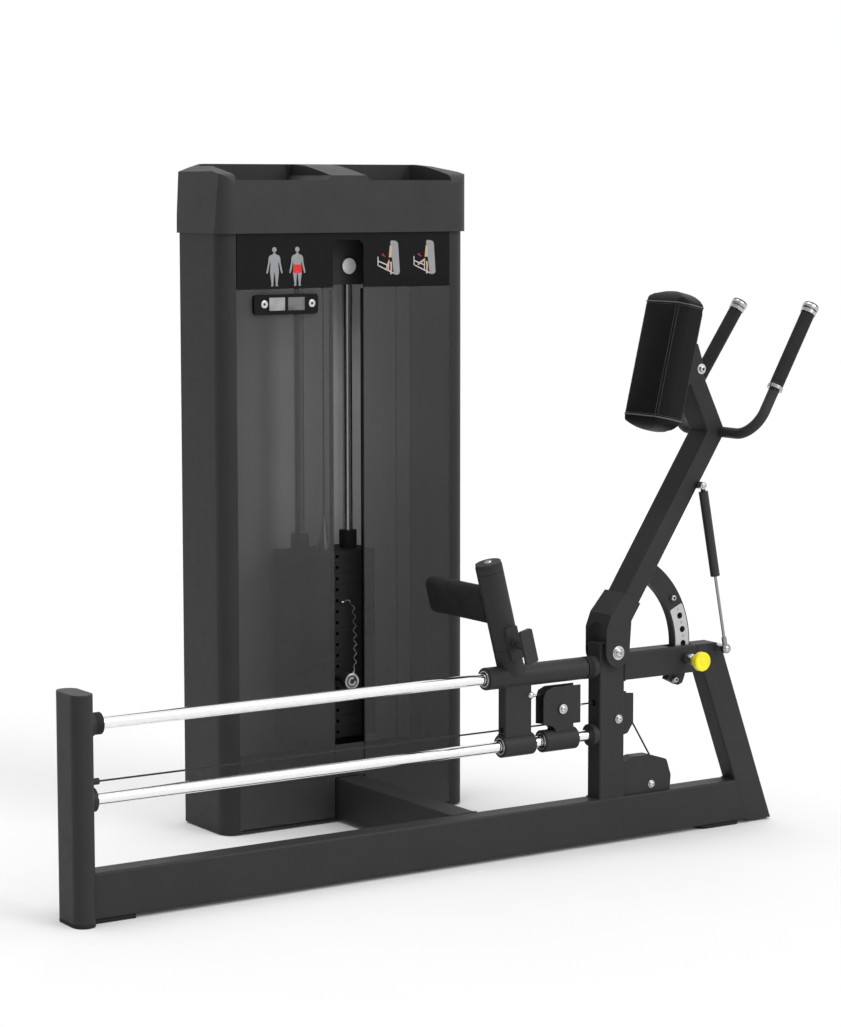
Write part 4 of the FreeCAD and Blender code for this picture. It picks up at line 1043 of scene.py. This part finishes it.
def add_bearings():
    """A black seal with a steel ring in each end of the sleeves."""
    seal = [(0, 14.1), (0, 26.2), (1.2, 26.2), (2.0, 25.4), (2.0, 22.0), (1.0, 21.5), (1.0, 14.1)]
    ring = [(1.0, 17.2), (1.9, 17.6), (1.9, 20.2), (1.0, 20.6)]
    for x, z, side, body in BEARINGS:
        lathe("bearing_seal", at(x, MID_Y, z), ALONG * side, seal, "black_plastic", body, 48)
        lathe("bearing_ring", at(x, MID_Y, z), ALONG * side, ring, "silver_steel", body, 48)


def add_axle_caps():
    for x in TOP_PULLEYS:
        disc = [(0, 20.3), (0.8, 20.3), (1.6, 19.4), (1.6, 0.01)]
        lathe("pulley_axle_cap", at(x, 636.0, TOP_PULLEY_Z), -ACROSS, disc, "zinc_plate", "frame", 48)


def add_carriage_fittings():
    """Painted shade in the mast's joint line as a black band, the mast's top bolt, and the ball that anchors
    the cable.
    """
    mast = (mast_at(100) - mast_at(0)).normalized()
    # Painted shade: a thin black ring stands in for the shadow in the narrow gap of the mast's joint.
    seam = [(0, 32.0), (0, 33.2), (1.3, 33.2), (1.3, 32.0)]
    lathe("mast_joint_shade_band", mast_at(MAST_JOINT), mast, seam, "black_gloss", "foot_mast", 64)
    head = [(0, 9.5), (2.4, 9.5), (3.6, 8.6), (3.6, 5.2), (1.2, 4.9), (1.2, 0.01)]
    lathe("mast_bolt", mast_at(MAST_TOP + 8.0), mast, head, "silver_steel", "foot_mast", 40)
    angles = [math.radians(-90 + 15 * k) for k in range(13)]
    ball = [(9.0 * math.sin(angle), 9.0 * math.cos(angle) + 0.01) for angle in angles]
    lathe("anchor_ball", at(1169.5, 14.0, 395.8), ALONG, ball, "silver_steel", "foot_carriage", 32)


def add_spring_eye():
    profile = [(0, 8.0), (0, 9.3), (12.4, 9.3), (12.4, 8.0)]
    place = at(STUD_UPPER[0], -20.3, STUD_UPPER[1])
    lathe("spring_eye", place, -ACROSS, profile, "silver_steel", "gas_spring_cylinder", 32)


def add_lock_pin():
    """The lock pin's painted boss and its yellow knob with a fluted rim."""
    x, z = about_pivot(HOLE_RADIUS, HOLE_ANGLES[-1])
    boss = [(0, 8.1), (0, 12.9), (13.5, 12.9), (14.5, 12.4), (14.5, 8.1)]
    lathe("lock_boss", at(x, TUBE_FRONT, z), -ACROSS, boss, "frame_paint", "frame", 40)
    knob = [(54.9, 10.1), (54.9, 21.5), (56.2, 23.9), (67.0, 23.9), (69.4, 21.2)]
    knob += [(69.4, 12.0), (68.9, 11.0), (69.4, 10.0), (69.4, 0.01)]
    lathe("lock_knob", at(x, 0.0, z), -ACROSS, knob, "yellow_plastic", "lock_pin", 144, (36, 0.3, 23.0))


def hook_outline():
    """Polar outline of the open ring stamped on the pin's face."""
    angles = [math.radians(60 + 12 * k) for k in range(26)]
    return [(11.6, a) for a in angles] + [(6.6, a) for a in reversed(angles)]


def add_pin_face():
    """The selector pin's round face: a steel rim, a black dish and an open ring in it."""
    face = [(-6.0, 20.3), (0, 20.3), (0.9, 20.0), (1.4, 18.8), (1.4, 15.8), (0.4, 15.0), (0.4, 0.01)]
    lathe("pin_face", at(STACK_X, 571.2, PIN_Z), -ACROSS, face, "silver_steel", "selector_pin", 48)
    dish = [(0, 15.2), (0.5, 15.2), (0.5, 0.01)]
    lathe("pin_dish", at(STACK_X, 570.9, PIN_Z), -ACROSS, dish, "black_plastic", "selector_pin", 48)
    loop = [(STACK_X + r * math.cos(a), PIN_Z + r * math.sin(a)) for r, a in hook_outline()]
    flat_piece("pin_hook", [loop], facing_front(570.0), 1.0, "silver_steel", "selector_pin", 0.2)


def add_fasteners():
    add_bolts()
    add_bearings()
    add_axle_caps()
    add_carriage_fittings()
    add_spring_eye()
    add_lock_pin()
    add_pin_face()


NUMBER_PLATE_ANGLES = (-13.0, 25.0)
NUMBER_PLATE_RADII = (203.5, 244.5)
ARC_PER_DEGREE = 3.96        # along the circle of holes
HOLE_SIZE = 8.3
DIGITS = (("1", 22.7), ("2", 13.8), ("3", 4.7), ("4", -4.4))


def number_plate_outline():
    """The plate drawn flat with rounded corners, then bent round the pivot."""
    first, last = (degrees * ARC_PER_DEGREE for degrees in NUMBER_PLATE_ANGLES)
    low, high = (radius - HOLE_RADIUS for radius in NUMBER_PLATE_RADII)
    flat = rounded([(first, low), (last, low), (last, high), (first, high)], 6.0, 6)
    loop = []
    for (along, out), (next_along, next_out) in zip(flat, flat[1:] + flat[:1]):
        steps = 20 if abs(next_along - along) > 60 else 1
        for k in range(steps):
            degrees = (along + (next_along - along) * k / steps) / ARC_PER_DEGREE
            radius = HOLE_RADIUS + out + (next_out - out) * k / steps
            loop.append(about_pivot(radius, degrees))
    return loop


def add_sector_plate():
    holes = [circle(*about_pivot(HOLE_RADIUS, degrees), HOLE_SIZE) for degrees in HOLE_ANGLES]
    loops = [number_plate_outline()] + holes
    flat_piece("number_plate", loops, facing_front(17.0), 1.0, "aluminium", "chest_arm", 0.2)
    for text, degrees in DIGITS:
        x, z = about_pivot(HOLE_RADIUS, degrees)
        text_piece("plate_digit", text, 10.0, x, z, 16.45, "black_gloss", "chest_arm")


# ---------------------------------------------------------------- tower front

def mirrored(half, cx):
    """A closed outline from its right half and the X of its middle."""
    return [(cx + x, z) for x, z in half] + [(cx - x, z) for x, z in reversed(half)]


# The right half of a standing figure below its head: distance from its middle, and layout Z.
FIGURE = [
    (0.01, 1461), (3.2, 1461), (4, 1457), (13, 1454), (16.5, 1449), (18, 1435), (21, 1422), (23.5, 1411),
    (20, 1409), (17, 1418), (14, 1432), (12, 1441), (11, 1430), (12.5, 1418), (12.5, 1410), (10.5, 1396),
    (8.5, 1383), (10.5, 1378), (3.5, 1378), (3.5, 1385), (2.2, 1400), (0.6, 1411), (0.01, 1412),
]


FIGURE_PLACES = (790.0, 856.0)
PICTURE_PLACES = ((1092.0, 0.0), (1201.0, 13.0))     # left edge, and how far the leg is lifted
INK_FACE = 582.8


def ink_strokes(name, strokes, material):
    """Flat rounded strokes on the placard: each is (points in layout X and Z, width)."""
    lines = [([Vector((x, 0, z)) * MM for x, z in points], width / 2) for points, width in strokes]
    mesh = joined_tubes(name, lines, 8)
    place = Matrix.Translation(at(0, 582.95, 0)) @ Matrix.Diagonal((1, 0.1, 1, 1))
    mesh.transform(place)
    finish_mesh(name, mesh, material, "frame")


def add_figures():
    """Two standing figures, the second with its trained muscles in red."""
    for cx in FIGURE_PLACES:
        flat_piece("figure", [mirrored(FIGURE, cx)], facing_front(INK_FACE), 0.4, "grey_ink", "frame")
        flat_piece("figure_head", [circle(cx, 1468.5, 6.3)], facing_front(INK_FACE), 0.4, "grey_ink", "frame")
    shorts = mirrored([(12.0, 1431), (13.0, 1411), (2.6, 1409), (0.01, 1416)], FIGURE_PLACES[1])
    flat_piece("figure_shorts", [shorts], facing_front(582.55), 0.3, "red_ink", "frame")


def add_exercise_picture(base, lift):
    """A person on the machine, one leg lifted back."""
    board = [(base + 38, 1489), (base + 62, 1485), (base + 68, 1402), (base + 50, 1399)]
    flat_piece("picture_board", [rounded(board, 8)], facing_front(INK_FACE), 0.4, "grey_ink", "frame")
    rails = [
        ([(base + 2, 1436), (base + 34, 1424)], 2.6),
        ([(base + 2, 1447), (base + 2, 1424)], 2.6),
        ([(base + 4, 1424), (base + 52, 1403)], 2.6),
        ([(base + 34, 1436), (base + 34, 1412)], 2.4),
    ]
    ink_strokes("picture_frame", rails, "pale_ink")
    knee = (base + 30 - lift * 0.7, 1424 + lift * 0.5)
    foot = (base + 27 - lift, 1412 + lift)
    person = [
        ([(base + 42, 1474), (base + 39, 1444)], 9.0),
        ([(base + 42, 1466), (base + 54, 1456), (base + 47, 1449)], 4.0),
        ([(base + 40, 1440), (base + 42, 1420), (base + 41, 1402)], 5.0),
        ([(base + 38, 1440), knee, foot], 5.0),
        ([(base + 44, 1480), (base + 44.5, 1483)], 8.0),
    ]
    ink_strokes("picture_person", person, "skin_ink")
    ink_strokes("picture_shorts", [([(base + 39.5, 1445), (base + 40, 1434)], 9.6)], "black_gloss")
    arrow = [
        ([(base + 14, 1452), (base + 24, 1447)], 2.0),
        ([(base + 14, 1452), (base + 19, 1454)], 1.6),
    ]
    ink_strokes("picture_arrow", arrow, "red_ink")


def add_pictograms():
    add_figures()
    for base, lift in PICTURE_PLACES:
        add_exercise_picture(base, lift)


SLOT_EDGE = 2.6
SKIRT_TOP = 201.0


def front_sheet(name, edges, corner, y, thickness, material):
    """A flat rectangle on the frame that faces the front; edges are its two X and its two Z."""
    flat_piece(name, [rectangle(*edges, corner)], facing_front(y), thickness, material, "frame")


def add_slot_edges():
    """Folded edges of the smoked panels on both sides of the slot, and the plates below them."""
    for x in (SLOT_LEFT - SLOT_EDGE, SLOT_RIGHT):
        front_sheet("slot_edge", (x, x + SLOT_EDGE, 202.0, 1368.0), 0.5, 593.6, 12.6, "black_gloss")
    for x0, x1 in ((684.0, 962.0), (1049.0, 1309.0)):
        front_sheet("skirt", (x0, x1, 14.0, SKIRT_TOP), 1.0, 589.0, 2.0, "frame_paint")
    front_sheet("pedestal_shroud", (930.0, 1092.0, 116.0, 206.0), 2.0, 648.0, 2.0, "black_gloss")
    front_sheet("slot_skirt", (962.5, 1048.5, 130.0, SKIRT_TOP), 1.0, 587.0, 2.0, "slot_skirt")


COUNTER_Z = 1334.0
COUNTER_FACE = 571.0
COUNTER_LEFT_WINDOW = (768.5, 814.2, 1317.6, 1350.5)
COUNTER_RIGHT_WINDOW = (822.5, 871.2, 1317.6, 1350.5)
COUNTER_BEZEL = (764.0, 875.7, 1313.5, 1354.5)


def add_counter():
    front_sheet("counter_left_display", COUNTER_LEFT_WINDOW, 2, 572.85, 0.5, "display")
    front_sheet("counter_right_display", COUNTER_RIGHT_WINDOW, 2, 572.85, 0.5, "dark_display")
    bezel = [rectangle(*COUNTER_BEZEL, 4)]
    bezel += [rectangle(*window, 2) for window in (COUNTER_LEFT_WINDOW, COUNTER_RIGHT_WINDOW)]
    flat_piece("counter_bezel", bezel, facing_front(572.5), 1.2, "black_gloss", "frame", 0.2)
    ring = [(-1.5, 9.3), (0.4, 9.3), (0.8, 8.6), (0.8, 6.9), (0.1, 6.2), (0.1, 0.01)]
    mark = [(0, 3.2), (0.35, 3.2), (0.35, 0.01)]
    for side, x in (("left", 754.4), ("right", 891.4)):
        place = at(x, COUNTER_FACE, COUNTER_Z)
        button = "counter_button_" + side
        lathe("counter_ring_" + side, place, -ACROSS, ring, "silver_steel", button, 40)
        lathe("counter_mark_" + side, place, -ACROSS, mark, "black_gloss", button, 24)


# ---------------------------------------------------------------- welds

def weld(name, corners, body, radius=2.4):
    """A bead of weld round a closed loop of corners, each a place in the layout."""
    points = [at(*corner) for corner in corners]
    closed = resample(points + points[:1], 0.004)[:-1]
    mesh = sweep_mesh(name, closed, radius, 8, closed=True)
    finish_mesh(name, mesh, "weld_paint", body)


def loop_level(x0, x1, y0, y1, z):
    return [(x0, y0, z), (x1, y0, z), (x1, y1, z), (x0, y1, z)]


def loop_across(x, y0, y1, z0, z1):
    return [(x, y0, z0), (x, y1, z0), (x, y1, z1), (x, y0, z1)]


def leg_x(z):
    return LEG_FRONT_FOOT - LEG_SLOPE * z


def add_welds():
    weld("upright_weld", loop_level(UPRIGHT_LEFT, UPRIGHT_RIGHT, TUBE_FRONT, TUBE_BACK, BEAM_TOP), "frame")
    beam = loop_across(UPRIGHT_RIGHT, TUBE_FRONT, TUBE_BACK, TOP_BEAM_LOW, TOP_BEAM_HIGH)
    weld("top_beam_weld", beam, "frame")
    cross = [(966, BEAM_BOTTOM), (1042, BEAM_BOTTOM), (1042, BEAM_TOP), (966, BEAM_TOP)]
    weld("cross_weld", [(x, BEAM_BACK, z) for x, z in cross], "frame")
    weld("beam_weld", loop_across(POST_FACE, 2, 56, BEAM_BOTTOM, BEAM_TOP - 2), "frame")
    low = leg_x(BEAM_BOTTOM)
    high = leg_x(BEAM_TOP)
    leg = [(low, TUBE_FRONT, BEAM_BOTTOM), (high, TUBE_FRONT, BEAM_TOP)]
    leg += [(high, TUBE_BACK, BEAM_TOP), (low, TUBE_BACK, BEAM_BOTTOM)]
    weld("leg_weld", leg, "frame")
    weld("web_weld_low", loop_level(1095.5, 1173, 13, 45, 300.5), "foot_carriage", 1.8)
    weld("neck_weld", loop_level(1244, 1298, 12, 46, 300.0), "pulley_carriage", 1.8)


MATERIALS = build_materials()
dress_cad()
add_chest_pad()
add_foot_pad()
add_cables()
add_lanyard()
add_handles()
add_fasteners()
add_sector_plate()
add_pictograms()
add_counter()
add_slot_edges()
add_welds()
add_camera()
add_studio()
